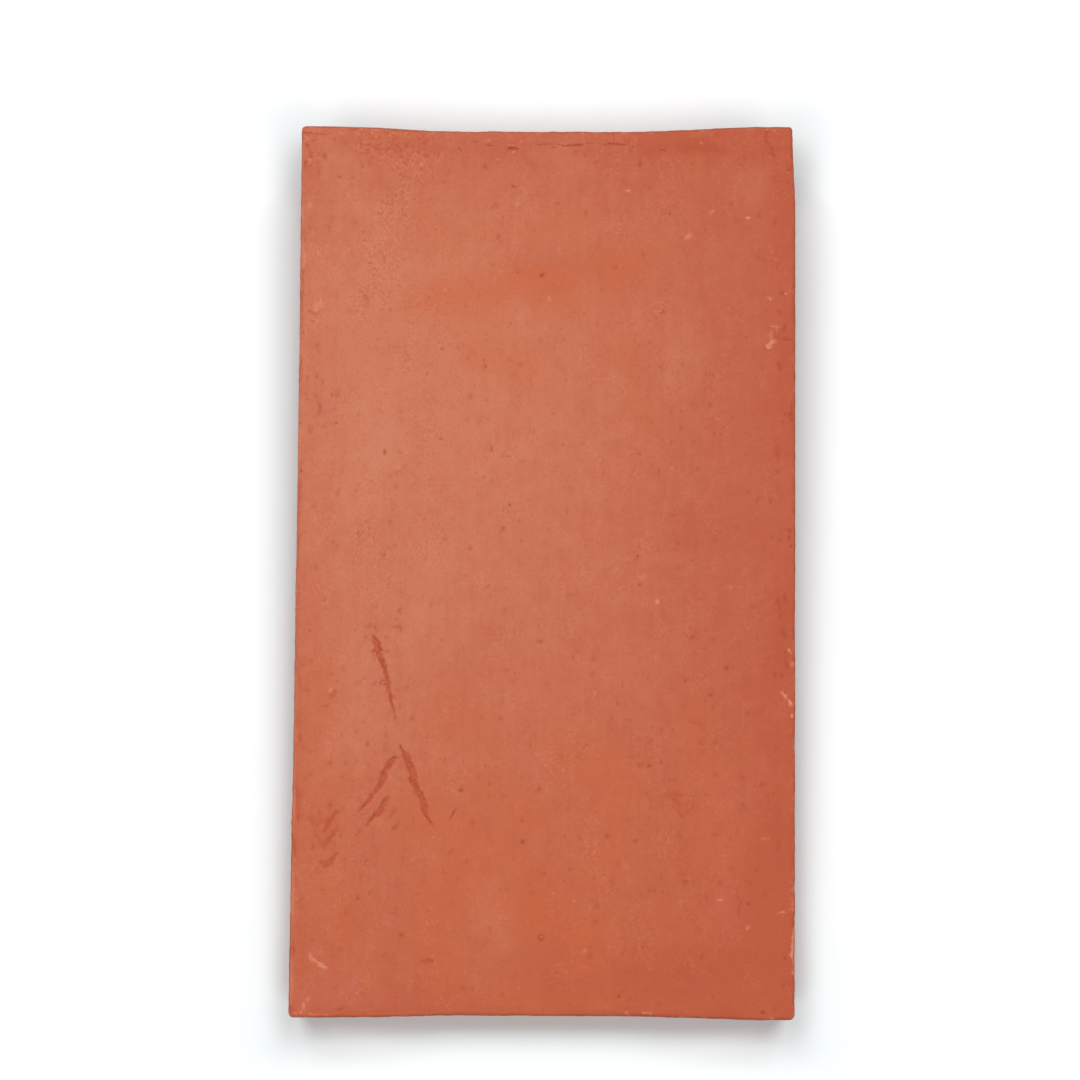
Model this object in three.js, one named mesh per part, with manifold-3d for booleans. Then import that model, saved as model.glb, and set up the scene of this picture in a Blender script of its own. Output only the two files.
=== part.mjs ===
// A flat clay roof tile: one fired piece, dished a little across its width, that hangs by a nib on
// its back.
//
// Millimetres. +X runs across the tile, +Y up the roof to the head, +Z out of the face. The slab is
// drawn level, with its back's flat middle at z = 0, and then laid on a level floor, where it rests
// on its tail and on the tip of its nib. The origin is the middle of the bottom of its outline box.

import * as THREE from "three";
import { mergeVertices, toCreasedNormals } from "three/addons/utils/BufferGeometryUtils.js";
import Module from "manifold-3d";

// Slab
const LENGTH = 280; // tail to head
const WIDTH = 157;
const THICKNESS = 13;
const ARRIS_RADIUS = 1.6; // rounding of the long edges
const END_ROUNDING = 0.88; // the cut ends and the corners are this much as round as the long edges

// Dish across the width
const DISH_DEPTH = 4; // the middle of the face below its rims
const PANEL_WIDTH = 47; // flat middle
const RIM_WIDTH = 9.5; // flat rim along each side

// How drying moved the outline
const HEAD_HOLLOW = 0.6; // the middle of the head drawn in
const HEAD_CORNER_DRAW = 0.9; // the right-hand head corner drawn towards the middle
const HEAD_CORNER_LENGTH = 30; // length of side that follows that corner

// Hanging nib
const NIB_WIDTH = 78;
const NIB_DEPTH = 12; // below the flat middle of the back
const NIB_BEARING = 20; // head of the tile to the face that hooks over the batten
const NIB_ROOT_LENGTH = 15.5; // at the back of the tile
const NIB_TIP_LENGTH = 11.5;
const NIB_EDGE_RADIUS = 2.2; // tip, on the batten's side
const NIB_BACK_RADIUS = 4; // tip, on the head's side
const NIB_FILLET = 2; // where the nib grows out of the back
const NIB_ROOT_SUNK = 5; // part of the nib's block inside the slab, under its middle

const END_RADIUS = END_ROUNDING * ARRIS_RADIUS;
const NIB_END_RADIUS = END_ROUNDING * NIB_EDGE_RADIUS;

// Fineness of the curves
const DISH_STEPS = 28; // across the face
const LENGTH_STEPS = 22;
const NIB_STEPS = 14; // across the nib
const CORNER_STEPS = 4; // round an arris
const SKIN = 0.15; // the nib's fillets run this far into the clay, so they meet it at an angle
const WELD = 1e-3;
const CREASE_ANGLE = Math.PI / 5;

// How far the dish has risen at x across the tile: 0 over the flat middle and 1 at the rims.
function dishRise(x) {
  const rim = WIDTH / 2 - RIM_WIDTH;
  return THREE.MathUtils.smoothstep(Math.abs(x), PANEL_WIDTH / 2, rim);
}

// Height of the back above its flat middle, at x across the tile.
function dish(x) {
  return DISH_DEPTH * dishRise(x);
}

// The cross-section, seen from the tail: back and face follow the same dish, a thickness apart.
function slabSection() {
  const side = WIDTH / 2 - ARRIS_RADIUS;
  const low = DISH_DEPTH + ARRIS_RADIUS;
  const high = DISH_DEPTH + THICKNESS - ARRIS_RADIUS;
  const quarter = Math.PI / 2;
  const section = new THREE.Shape();
  section.moveTo(-side, DISH_DEPTH);
  for (let i = 1; i <= DISH_STEPS; i++) {
    const x = side * ((2 * i) / DISH_STEPS - 1);
    section.lineTo(x, dish(x));
  }
  section.absarc(side, low, ARRIS_RADIUS, -quarter, 0);
  section.absarc(side, high, ARRIS_RADIUS, 0, quarter);
  for (let i = DISH_STEPS - 1; i >= 0; i--) {
    const x = side * ((2 * i) / DISH_STEPS - 1);
    section.lineTo(x, THICKNESS + dish(x));
  }
  section.absarc(-side, high, ARRIS_RADIUS, quarter, 2 * quarter);
  section.absarc(-side, low, ARRIS_RADIUS, 2 * quarter, 3 * quarter);
  return section;
}

// Moves each vertex by what the function adds to it.
function displace(geometry, shift) {
  const position = geometry.getAttribute("position");
  const point = new THREE.Vector3();
  for (let i = 0; i < position.count; i++) {
    point.fromBufferAttribute(position, i);
    point.add(shift(point));
    position.setXYZ(i, point.x, point.y, point.z);
  }
  return geometry;
}

// What drying did to the outline at the head: its middle and one corner are drawn in.
function dryingShift({ x, y }) {
  const head = LENGTH / 2;
  const towardsHead = THREE.MathUtils.smoothstep(y, 0, head);
  const towardsCorner = THREE.MathUtils.smoothstep(y, head - HEAD_CORNER_LENGTH, head);
  const towardsSide = Math.max(x / (WIDTH / 2), 0) ** 3;
  return new THREE.Vector3(
    -HEAD_CORNER_DRAW * towardsCorner * towardsSide,
    -HEAD_HOLLOW * towardsHead * (1 - dishRise(x)),
    0,
  );
}

// The slab: its section pushed out along the tile, with both ends rounded.
function slabGeometry() {
  const depth = LENGTH - 2 * END_RADIUS;
  const geometry = new THREE.ExtrudeGeometry(slabSection(), {
    depth,
    steps: LENGTH_STEPS,
    curveSegments: CORNER_STEPS / 2,
    bevelThickness: END_RADIUS,
    bevelSize: END_RADIUS,
    bevelOffset: -END_RADIUS,
    bevelSegments: CORNER_STEPS,
  });
  geometry.rotateX(Math.PI / 2).translate(0, depth / 2, 0);
  return displace(geometry, dryingShift);
}

// A closed outline through the corners [x, y, radius], each rounded by an arc of its radius.
function roundedOutline(corners) {
  const outline = new THREE.Shape();
  const points = corners.map(([x, y]) => new THREE.Vector2(x, y));
  corners.forEach(([, , radius], i) => {
    const corner = points[i];
    const back = points.at(i - 1).clone().sub(corner).normalize();
    const on = points[(i + 1) % points.length].clone().sub(corner).normalize();
    const half = Math.acos(THREE.MathUtils.clamp(back.dot(on), -1, 1)) / 2;
    const start = corner.clone().addScaledVector(back, radius / Math.tan(half));
    if (i === 0) outline.moveTo(start.x, start.y);
    else outline.lineTo(start.x, start.y);
    if (radius === 0) return;
    const bisector = back.clone().add(on).normalize();
    const centre = corner.clone().addScaledVector(bisector, radius / Math.sin(half));
    const clockwise = back.cross(on) > 0;
    const turn = (Math.PI - 2 * half) * (clockwise ? -1 : 1);
    const from = start.clone().sub(centre).angle();
    outline.absarc(centre.x, centre.y, radius, from, from + turn, clockwise);
  });
  outline.closePath();
  return outline;
}

// The nib's side view, y along the tile and z up: square to the back on the batten's side, and
// sloped towards the head.
function nibProfile() {
  const bearing = LENGTH / 2 - NIB_BEARING;
  const root = bearing + NIB_ROOT_LENGTH;
  const tip = bearing + NIB_TIP_LENGTH;
  const flare = 1.2 * NIB_FILLET;
  return roundedOutline([
    [bearing - flare, NIB_ROOT_SUNK, 0],
    [bearing - flare, SKIN, 0],
    [bearing, SKIN, NIB_FILLET],
    [bearing, -NIB_DEPTH, NIB_EDGE_RADIUS],
    [tip, -NIB_DEPTH, NIB_BACK_RADIUS],
    [root, SKIN, 0],
    [root, NIB_ROOT_SUNK, 0],
  ]);
}

// The nib's root follows the dished back, and its tip is level.
function nibShift({ x, z }) {
  const share = THREE.MathUtils.clamp(1 + z / NIB_DEPTH, 0, 1);
  return new THREE.Vector3(0, 0, share * dish(x));
}

// The nib: its side view pushed out across the tile, with rounded ends.
function nibGeometry() {
  const depth = NIB_WIDTH - 2 * NIB_END_RADIUS;
  const geometry = new THREE.ExtrudeGeometry(nibProfile(), {
    depth,
    steps: NIB_STEPS,
    curveSegments: CORNER_STEPS / 2,
    bevelThickness: NIB_END_RADIUS,
    bevelSize: NIB_END_RADIUS,
    bevelOffset: -NIB_END_RADIUS,
    bevelSegments: CORNER_STEPS,
  });
  geometry.rotateX(Math.PI / 2).rotateZ(Math.PI / 2).translate(-depth / 2, 0, 0);
  return displace(geometry, nibShift);
}

// A closed geometry as a solid that can be joined.
function solidOf(wasm, geometry) {
  const bare = new THREE.BufferGeometry();
  bare.setAttribute("position", geometry.getAttribute("position"));
  if (geometry.index) bare.setIndex(geometry.index);
  const merged = mergeVertices(bare, WELD);
  const mesh = new wasm.Mesh({
    numProp: 3,
    vertProperties: merged.getAttribute("position").array,
    triVerts: new Uint32Array(merged.index.array),
  });
  return new wasm.Manifold(mesh);
}

// A solid's surface, smooth along its curves and creased at its edges.
function geometryOf(solid) {
  const { vertProperties, triVerts } = solid.getMesh();
  const geometry = new THREE.BufferGeometry();
  geometry.setAttribute("position", new THREE.BufferAttribute(vertProperties, 3));
  geometry.setIndex(new THREE.BufferAttribute(triVerts, 1));
  return toCreasedNormals(geometry, CREASE_ANGLE);
}

// The slope at which the tail's lower edge and the nib's tip both touch a level floor.
function lyingTilt() {
  const tailContact = -LENGTH / 2 + END_RADIUS;
  const nibContact = LENGTH / 2 - NIB_BEARING + NIB_EDGE_RADIUS;
  return Math.atan2(NIB_DEPTH, nibContact - tailContact);
}

const wasm = await Module();
wasm.setup();

const slab = solidOf(wasm, slabGeometry());
const nib = solidOf(wasm, nibGeometry());
const firedClay = new THREE.MeshStandardMaterial({ color: 0xc97357, roughness: 0.92, metalness: 0 });

const tile = new THREE.Mesh(geometryOf(slab.add(nib)), firedClay);
tile.name = "tile";
tile.rotation.x = lyingTilt();
tile.updateMatrixWorld();

const outlineBox = new THREE.Box3().setFromObject(tile, true);
const middle = outlineBox.getCenter(new THREE.Vector3());
tile.position.set(-middle.x, -middle.y, -outlineBox.min.z);

const roofTile = new THREE.Group();
roofTile.name = "roof_tile";
roofTile.add(tile);

export default roofTile;
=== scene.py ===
"""A flat clay roof tile, dressed: worn arrises, a creased head, drag marks and a dry, sandy skin.

Sizes are in millimetres until a mesh is made. The tile is modelled level in its own frame, with +X
across it, +Y towards its head and +Z out of its face, and is then laid down as its solid lies: on
the tip of its nib and on its tail.
"""

import itertools
import logging
import math
from dataclasses import dataclass
from enum import Enum
from typing import Sequence, Union

import bmesh
import bpy
import numpy as np
from bmesh.types import BMEdge, BMesh, BMFace, BMVert
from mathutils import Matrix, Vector


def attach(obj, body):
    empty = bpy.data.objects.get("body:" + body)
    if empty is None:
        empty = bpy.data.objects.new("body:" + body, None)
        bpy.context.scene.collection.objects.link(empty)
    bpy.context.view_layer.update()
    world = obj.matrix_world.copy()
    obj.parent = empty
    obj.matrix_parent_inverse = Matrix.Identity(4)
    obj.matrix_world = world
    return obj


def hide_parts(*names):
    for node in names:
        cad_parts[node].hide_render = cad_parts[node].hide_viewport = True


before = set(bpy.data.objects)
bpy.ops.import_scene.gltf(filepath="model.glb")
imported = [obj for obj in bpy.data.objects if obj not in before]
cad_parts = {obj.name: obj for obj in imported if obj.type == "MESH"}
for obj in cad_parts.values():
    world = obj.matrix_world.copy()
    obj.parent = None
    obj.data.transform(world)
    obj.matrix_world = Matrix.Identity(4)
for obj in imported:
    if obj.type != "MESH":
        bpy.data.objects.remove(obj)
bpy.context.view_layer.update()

MM = 0.001
TOUCH = 1e-6  # two heights nearer than this are the same
LAYER_SHIFT = 17.3  # keeps the layers of a noise from lining up
RISE_LENGTH = 130.0  # over this length to the right, the marks that rise double in strength
log = logging.getLogger("roof_tile")

Pair = tuple[float, float]
Triple = tuple[float, float, float]
Socket = bpy.types.NodeSocket


def smooth(value: np.ndarray, low: float, high: float) -> np.ndarray:
    """Rises smoothly from 0 at low to 1 at high."""
    share = np.clip((value - low) / (high - low), 0.0, 1.0)
    return share * share * (3.0 - 2.0 * share)


def paint(*levels: int) -> Triple:
    """A colour as the linear light that a shader takes.

    Args:
        levels: Its red, green and blue on a screen, from 0 to 255.

    Returns:
        The colour.
    """
    return tuple(
        part / 12.92 if part <= 0.04045 else ((part + 0.055) / 1.055) ** 2.4
        for part in (level / 255 for level in levels)
    )


def show(name: str, data: bpy.types.ID) -> bpy.types.Object:
    """Puts a mesh, a lamp or a camera in the scene.

    Args:
        name: The object's name.
        data: What it holds.

    Returns:
        The new object, at the origin.
    """
    made = bpy.data.objects.new(name, data)
    bpy.context.scene.collection.objects.link(made)
    return made


class ClayNoise:
    """Smooth random heights on a seeded lattice, the same in every run."""

    def __init__(self, seed: int) -> None:
        """Shuffles the lattice.

        Args:
            seed: What the random numbers start from.
        """
        maker = np.random.default_rng(seed)
        self.order = maker.permutation(256)
        self.heights = maker.uniform(-1.0, 1.0, 256)

    def _layer(self, places: np.ndarray) -> np.ndarray:
        """One layer of noise, between -1 and 1.

        Args:
            places: Points as rows of x, y and z, in lattice cells.

        Returns:
            A height for each point.
        """
        cell = np.floor(places).astype(int)
        inside = places - cell
        share = inside * inside * (3.0 - 2.0 * inside)
        total = np.zeros(len(places))
        for corner in itertools.product((0, 1), repeat=3):
            at = cell + corner
            key = self.order[at[:, 0] % 256]
            key = self.order[(key + at[:, 1]) % 256]
            key = self.order[(key + at[:, 2]) % 256]
            total += self.heights[key] * np.prod(np.where(corner, share, 1.0 - share), axis=1)
        return total

    def at(self, places: np.ndarray, size: Union[float, Triple], layers: int = 3) -> np.ndarray:
        """Layered noise with lumps of a given size.

        Args:
            places: Points as rows of x, y and z, in millimetres.
            size: The lumps' size in millimetres, one number or one for each axis.
            layers: How many layers are added, each half as large and half as high as the last.

        Returns:
            A height for each point, mostly between -1 and 1.
        """
        scaled = places / np.asarray(size, dtype=float)
        return sum(self._layer(scaled * 2**i + LAYER_SHIFT * i) * 0.5**i for i in range(layers))


class Tone(Enum):
    """What a mark does to the colour of the clay."""

    # DARK marks dragged and smeared clay; it also holds painted shade by the head and the arrises.
    DARK = "dark"
    # PALE marks flakes and grit, and also painted light along the left-hand arris.
    PALE = "pale"
    # Painted shade in hollows: cracks, furrows, pits, dents and specks.
    CRACK = "crack"
    BARE = "bare"
    FADED = "faded"
    ORANGE = "orange"
    PINK = "pink"


@dataclass(frozen=True)
class Kind:
    """What one kind of mark does to the clay.

    Attributes:
        depth: How deep it is pressed in, negative where it stands proud.
        tone: What it does to the colour.
        ragged: How far its edge wanders.
        feather: How wide its soft edge is.
        gain: A factor on its strength.
        usual: The usual half width, strength and drawing out along x and y of a spot.
        rises: Whether it is stronger towards the right, where the clay round it is darker.
    """

    depth: float
    tone: Tone
    ragged: float
    feather: float
    gain: float = 1.0
    usual: tuple[float, ...] = ()
    rises: bool = False


@dataclass(frozen=True)
class Stroke:
    """One mark on the face.

    Attributes:
        kind: What it does to the clay.
        strength: How much of its tone it has, up to 1.
        path: The points that it runs through, as x, y and half width.
    """

    kind: Kind
    strength: float
    path: tuple[Triple, ...]

    def outside(self, x: np.ndarray, y: np.ndarray) -> np.ndarray:
        """How far points lie outside the mark's edge, negative inside it.

        Args:
            x: Places across the tile.
            y: Places along the tile.

        Returns:
            The distance to the edge for each point.
        """
        nearest = np.full(len(x), np.inf)
        for (x0, y0, w0), (x1, y1, w1) in zip(self.path, self.path[1:] or self.path):
            dx, dy = x1 - x0, y1 - y0
            span = dx * dx + dy * dy or 1.0
            along = np.clip(((x - x0) * dx + (y - y0) * dy) / span, 0.0, 1.0)
            gap = np.hypot(x - x0 - along * dx, y - y0 - along * dy) - (w0 + along * (w1 - w0))
            nearest = np.minimum(nearest, gap)
        return nearest

    def near(self, x: np.ndarray, y: np.ndarray) -> np.ndarray:
        """Which points may be reached by the mark.

        Args:
            x: Places across the tile.
            y: Places along the tile.

        Returns:
            True for each point in a box round the mark.
        """
        margin = self.kind.feather + self.kind.ragged + 0.5
        across = [px + side * (w + margin) for px, _, w in self.path for side in (-1, 1)]
        along = [py + side * (w + margin) for _, py, w in self.path for side in (-1, 1)]
        return (x > min(across)) & (x < max(across)) & (y > min(along)) & (y < max(along))


class Mark(Enum):
    """The kinds of marks on the face."""

    DRAG = Kind(0.2, Tone.DARK, 0.25, 0.4)
    FURROW = Kind(0.12, Tone.CRACK, 0.15, 0.4)
    SMEAR = Kind(0.08, Tone.DARK, 0.5, 0.8, gain=1.3)
    SHADE = Kind(0.0, Tone.DARK, 1.5, 3.0)
    CRACK = Kind(0.25, Tone.CRACK, 0.25, 0.35, gain=0.88)
    FLAKE = Kind(0.12, Tone.PALE, 0.5, 0.4)
    LIFTED = Kind(-0.15, Tone.PALE, 0.5, 0.4)
    CURLED = Kind(-0.1, Tone.PALE, 0.5, 0.4)
    # A pale wash without depth: painted light.
    PAINTED_LIGHT = Kind(0.0, Tone.PALE, 0.5, 0.4)
    BARE = Kind(0.0, Tone.BARE, 5.0, 12.0)
    FADED = Kind(0.0, Tone.FADED, 5.0, 12.0)
    ORANGE = Kind(0.0, Tone.ORANGE, 5.0, 12.0)
    PINK = Kind(0.0, Tone.PINK, 5.0, 12.0)
    PIT = Kind(0.12, Tone.CRACK, 0.15, 0.55, usual=(0.35, 0.6, 0.1, 0.3), rises=True)
    DENT = Kind(0.08, Tone.CRACK, 0.35, 0.7, usual=(0.35, 0.4, 0.0, 0.6), rises=True)
    SPECK = Kind(0.06, Tone.CRACK, 0.3, 0.8, usual=(0.35, 0.37, 0.0, 0.0), rises=True)
    GRIT = Kind(-0.12, Tone.PALE, 0.3, 0.35, usual=(0.5, 0.8, 0.0, 0.0))

    def lines(self, *rows: tuple[float, ...]) -> tuple[Stroke, ...]:
        """Marks that run through points.

        Args:
            rows: The strength of each, up to 1, and then the x, y and half width of its points.

        Returns:
            The marks.
        """
        made = []
        for strength, *numbers in rows:
            path = tuple(zip(numbers[::3], numbers[1::3], numbers[2::3]))
            made.append(Stroke(self.value, min(1.0, strength * self.value.gain), path))
        return tuple(made)

    def spots(self, *rows: tuple[float, ...]) -> tuple[Stroke, ...]:
        """Marks that are in one place each.

        Args:
            rows: The x, y, half width and strength of each, and how far it is drawn out along x
                and y. The last of them are left out where they are usual.

        Returns:
            The marks.
        """
        made = []
        for x, y, *own in rows:
            width, strength, dx, dy = (*own, *self.value.usual[len(own):])
            rise = max(0.0, x) / RISE_LENGTH if self.value.rises else 0.0
            ends = (x - dx / 2, y - dy / 2, width), (x + dx / 2, y + dy / 2, width * 0.7)
            made.append(Stroke(self.value, min(1.0, strength * (1.0 + rise)), ends))
        return tuple(made)


# Broad patches of other shades.
ORANGE_PATCHES = Mark.ORANGE.lines(
    (0.5, -40, 84, 5, -18, 88, 8, 8, 92, 6, 28, 97, 4), (0.3, -40, 104, 4, -10, 106, 4, 10, 108, 4),
    (0.3, -20, 65, 5, -5, 62, 5), (0.3, 26, 70, 3, 30, 40, 3), (0.35, -32, -44, 6, -20, -50, 6),
    (0.45, -36, -78, 8, -20, -92, 10, -36, -112, 6, -28, -130, 4),
    (0.35, 6, -60, 5, 24, -62, 7, 20, -92, 6), (0.4, -20, -66, 4, -4, -80, 5),
    (0.6, -6, -104, 8, 10, -116, 10), (0.35, 46, -50, 5, 56, -92, 5),
    (0.3, -72, -8, 3, -70, -40, 3, -68, -86, 5, -60, -118, 5), (0.35, -10, -136, 3, 34, -136, 3),
)
BARE_PATCHES = Mark.BARE.lines(
    (0.6, 4, -112, 8, 8, -130, 10), (0.3, -10, 96, 5, 10, 100, 5, 28, 92, 4),
    (0.35, 52, 10, 6, 66, 14, 5), (0.6, 77, 20, 2, 76, -20, 2, 75, -76, 4, 75, -134, 6),
    (0.6, 30, -130, 10, 70, -122, 8, 66, -90, 5), (0.35, -25, -134, 5, -62, -138, 3),
    (0.5, 74, 134, 5, 76, 70, 3, 76, 40, 2), (0.25, -50, 134, 2, 50, 134, 3),
    (0.5, 10, -138, 2, 50, -137, 3, 72, -132, 6), (0.25, -22, -44, 3, -18, -24, 3),
)
FADED_PATCHES = Mark.FADED.lines(
    (0.4, -56, 66, 2, -52, 52, 5, -56, 22, 3), (0.3, -70, 136, 3, -64, 120, 5, -56, 112, 4),
    (0.25, -36, 6, 4, -40, -20, 3), (0.2, 44, 78, 3, 42, 60, 3),
    (0.25, -64, -60, 5, -56, -40, 5, -58, -26, 4), (0.25, -16, -100, 4, -14, -112, 4),
    (0.25, 6, 131, 3, 10, 128, 3), (0.25, 65, 120, 3, 65, 114, 3),
)
PINK_PATCHES = Mark.PINK.lines(
    (0.2, 56, -70, 4, 56, -110, 4), (0.3, -72, -134, 4, -50, -136, 4),
    (0.25, -76, -4, 3, -72, -20, 3), (0.25, -10, -34, 5, 24, -34, 6),
    (0.2, -30, 128, 4, -20, 120, 4),
)

# Places near the tail where the wet clay was dragged, and the deeper lines inside them.
DRAGS = Mark.DRAG.lines(
    (0.8, -53.4, -22, 0.35, -53.3, -22.6, 0.6, -53.1, -23.5, 0.85, -52.5, -24.5, 0.95, -51.9, -26,
     0.9, -52, -27.2, 0.85, -51.7, -28.2, 0.9, -51.2, -29, 0.85, -50.9, -29.8, 0.95, -50.3, -31,
     0.75, -49.9, -32, 0.8, -49.8, -33, 0.75, -49.5, -34, 0.6, -49.1, -35, 0.55, -48.9, -36.4, 0.6,
     -48.8, -38, 0.65, -48.5, -39.4, 0.6, -48.1, -41.2, 0.5, -47.7, -43, 0.5, -47.2, -44.4, 0.4,
     -46.9, -46.4, 0.3, -46.2, -48.8, 0.08),
    (0.6, -51.1, -37.6, 0.3, -50.9, -36.4, 0.4, -50.2, -36.1, 0.4, -49.6, -36.6, 0.5),
    (0.7, -50.3, -37.3, 0.3, -49.3, -37.4, 0.4), (0.7, -53.3, -26.7, 0.4, -53.2, -27.1, 0.4),
    (0.8, -50.9, -26.4, 0.4), (0.5, -50.7, -27.9, 0.45),
    (0.8, -44.8, -56.3, 0.25, -44.5, -57.2, 0.35, -44, -58.2, 0.5, -43.2, -59.2, 0.95, -42.9, -60.2,
     1.1, -42.4, -61.4, 1.1, -41.6, -63, 1.15, -41, -64.5, 1.15, -40.7, -66, 1.3, -40.6, -67.2, 1.2,
     -40.2, -68.3, 1, -39.7, -69.5, 0.95, -39.5, -70.5, 0.75, -38.7, -71.4, 1.05, -38.1, -72.4, 1,
     -37.8, -73.6, 1, -37.3, -75, 1.05, -37, -76, 1.05, -36.8, -77, 0.85, -36.6, -78.1, 0.5, -36.2,
     -79, 0.4, -35.4, -80, 0.4, -34.8, -81, 0.25, -34.1, -82, 0.08),
    (0.9, -46.6, -59.5, 0.3, -46.5, -60.1, 0.45, -47.4, -61.1, 0.9, -48.2, -62.2, 0.95, -48.9,
     -63.2, 0.85, -49.5, -64.2, 0.65, -49.6, -65.3, 1.05, -49.9, -66.3, 1.15, -50.4, -67.5, 0.95,
     -51.1, -68.6, 0.85, -51.7, -69.5, 0.8, -52, -70.4, 0.65),
    (0.7, -52.9, -70.9, 0.3, -52.5, -71.4, 0.3),
    (0.85, -53.6, -71.6, 0.45, -53.6, -72.5, 0.65, -54.4, -73.4, 0.6, -55, -74.1, 0.5, -55.8, -75,
     0.5, -56.5, -75.8, 0.4, -57, -76.4, 0.3, -57.6, -77, 0.1),
    (0.85, -48.3, -72.6, 0.35, -48.9, -73.1, 0.7, -49.6, -74, 0.65, -50.1, -75, 0.75, -50.5, -76.2,
     1.05, -51, -77.2, 1, -51.9, -77.9, 0.85, -52.8, -78.5, 0.6, -53.6, -79.4, 0.5, -54.2, -80.1,
     0.45, -54.7, -80.8, 0.3, -55.3, -81.4, 0.1), (0.5, -51.2, -78.4, 0.35), (0.4, -49.1, -75, 0.3),
    (0.8, -27.4, -76.3, 0.15, -28.2, -77.6, 0.35, -29.2, -79.4, 0.15),
    (0.75, -63.8, -89.9, 0.25, -64.6, -90.3, 0.5, -65.3, -91.3, 0.75, -66, -92.3, 0.9, -66.9, -93.3,
     0.9, -67.6, -94, 0.55),
)
# The deeper lines are darkened as painted shade.
FURROWS = Mark.FURROW.lines(
    (0.6, -53.3, -22.5, 0.3, -52.7, -23.2, 0.25, -51.9, -24.1, 0.2, -51.5, -24.6, 0.15),
    (0.6, -51.8, -25, 0.3, -51.6, -26.2, 0.4, -51, -26.5, 0.25),
    (0.6, -51.4, -26.7, 0.2, -52.1, -27.6, 0.25, -52.6, -28.1, 0.15), (0.6, -53.2, -26.9, 0.3),
    (0.8, -51.6, -29.3, 0.35, -51.2, -30.2, 0.25, -50.6, -30.6, 0.3, -50.4, -31.7, 0.3, -49.6,
     -32.6, 0.3, -50, -33.5, 0.15), (0.7, -50.6, -29.6, 0.2, -50.1, -29.9, 0.25, -50.6, -30.6, 0.3),
    (0.7, -49.1, -33.1, 0.15, -49.3, -34.2, 0.2, -49.1, -35.4, 0.35, -48.8, -34.9, 0.2),
    (0.4, -48.6, -36.4, 0.3), (0.6, -51.1, -36.9, 0.2), (0.6, -50.4, -36, 0.2),
    (0.4, -50.2, -37.2, 0.2, -49, -37.5, 0.25, -48.7, -38, 0.25),
    (0.6, -48.1, -40.6, 0.25, -48.1, -41.4, 0.35, -47.8, -42.8, 0.3, -47.4, -44.2, 0.25),
    (0.7, -44.7, -56.8, 0.25, -44.2, -57.8, 0.3, -44, -58.3, 0.2),
    (0.6, -43.7, -59.2, 0.35, -43.5, -60, 0.2, -43.2, -60.6, 0.25, -42.5, -61.2, 0.35, -41.5, -61.8,
     0.3), (0.35, -42.2, -59.8, 0.2, -42, -60.8, 0.2),
    (0.35, -42.7, -62, 0.25, -42.2, -63.4, 0.3, -42, -64.2, 0.2),
    (0.3, -41, -62.8, 0.3, -40.6, -63.4, 0.2), (0.6, -41.5, -66.3, 0.35, -42.2, -66.9, 0.2),
    (0.8, -40.9, -67.3, 0.2, -40.3, -67.2, 0.2), (0.6, -41.4, -67.6, 0.25, -41, -67.5, 0.2),
    (0.6, -40.9, -68.2, 0.25, -40.2, -68.1, 0.2, -40, -68.5, 0.2),
    (0.9, -40.7, -68.7, 0.2, -40.3, -68.7, 0.2),
    (0.6, -39.8, -68.6, 0.3, -39.5, -69.4, 0.4, -39.9, -70.1, 0.3, -38.9, -70, 0.2),
    (0.6, -39.3, -70.6, 0.15, -38.8, -70.6, 0.2), (0.75, -37.9, -71, 0.25, -38.2, -71.7, 0.3),
    (0.45, -38.8, -72.2, 0.35, -38.2, -72.8, 0.25, -37.4, -72.9, 0.25, -37.3, -73.4, 0.25),
    (0.7, -37.8, -73.9, 0.2), (0.35, -37.2, -74.6, 0.2, -36.8, -75.5, 0.3),
    (0.5, -38, -76, 0.25, -37.4, -76.8, 0.3, -36.9, -77.9, 0.25, -36.2, -79, 0.25, -35.1, -80.2,
     0.2), (0.4, -46.9, -60.1, 0.35, -46.3, -60.3, 0.25),
    (0.35, -48.3, -62.3, 0.3, -47.4, -62.2, 0.25),
    (0.45, -49.5, -63.4, 0.25, -48.6, -63.2, 0.25, -48.1, -62.9, 0.2),
    (0.45, -50, -64.4, 0.2, -50.2, -65.2, 0.3), (0.6, -50, -67.9, 0.2, -50.7, -68.4, 0.3),
    (0.4, -51, -69, 0.2, -51.3, -69.6, 0.25), (0.5, -52.7, -71.2, 0.25),
    (0.6, -53.6, -71.8, 0.3, -53.2, -72.2, 0.2), (0.5, -55, -73.7, 0.3, -55.1, -74.2, 0.25),
    (0.6, -55.7, -74.9, 0.3, -56.3, -75.4, 0.2), (0.45, -49.6, -73.3, 0.3, -50.3, -74.3, 0.25),
    (0.4, -50.5, -77, 0.3), (0.6, -52.4, -77.6, 0.2, -52.6, -78.1, 0.4),
    (0.5, -53.3, -78.8, 0.25, -53.8, -79.5, 0.35),
    (0.8, -27.8, -76.9, 0.15, -28.3, -77.8, 0.2, -28.9, -78.9, 0.15), (0.5, -65.4, -91.5, 0.4),
    (0.35, -65.1, -84.1, 0.3, -65.6, -84.8, 0.15, -66.2, -85.2, 0.25),
)

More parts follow.
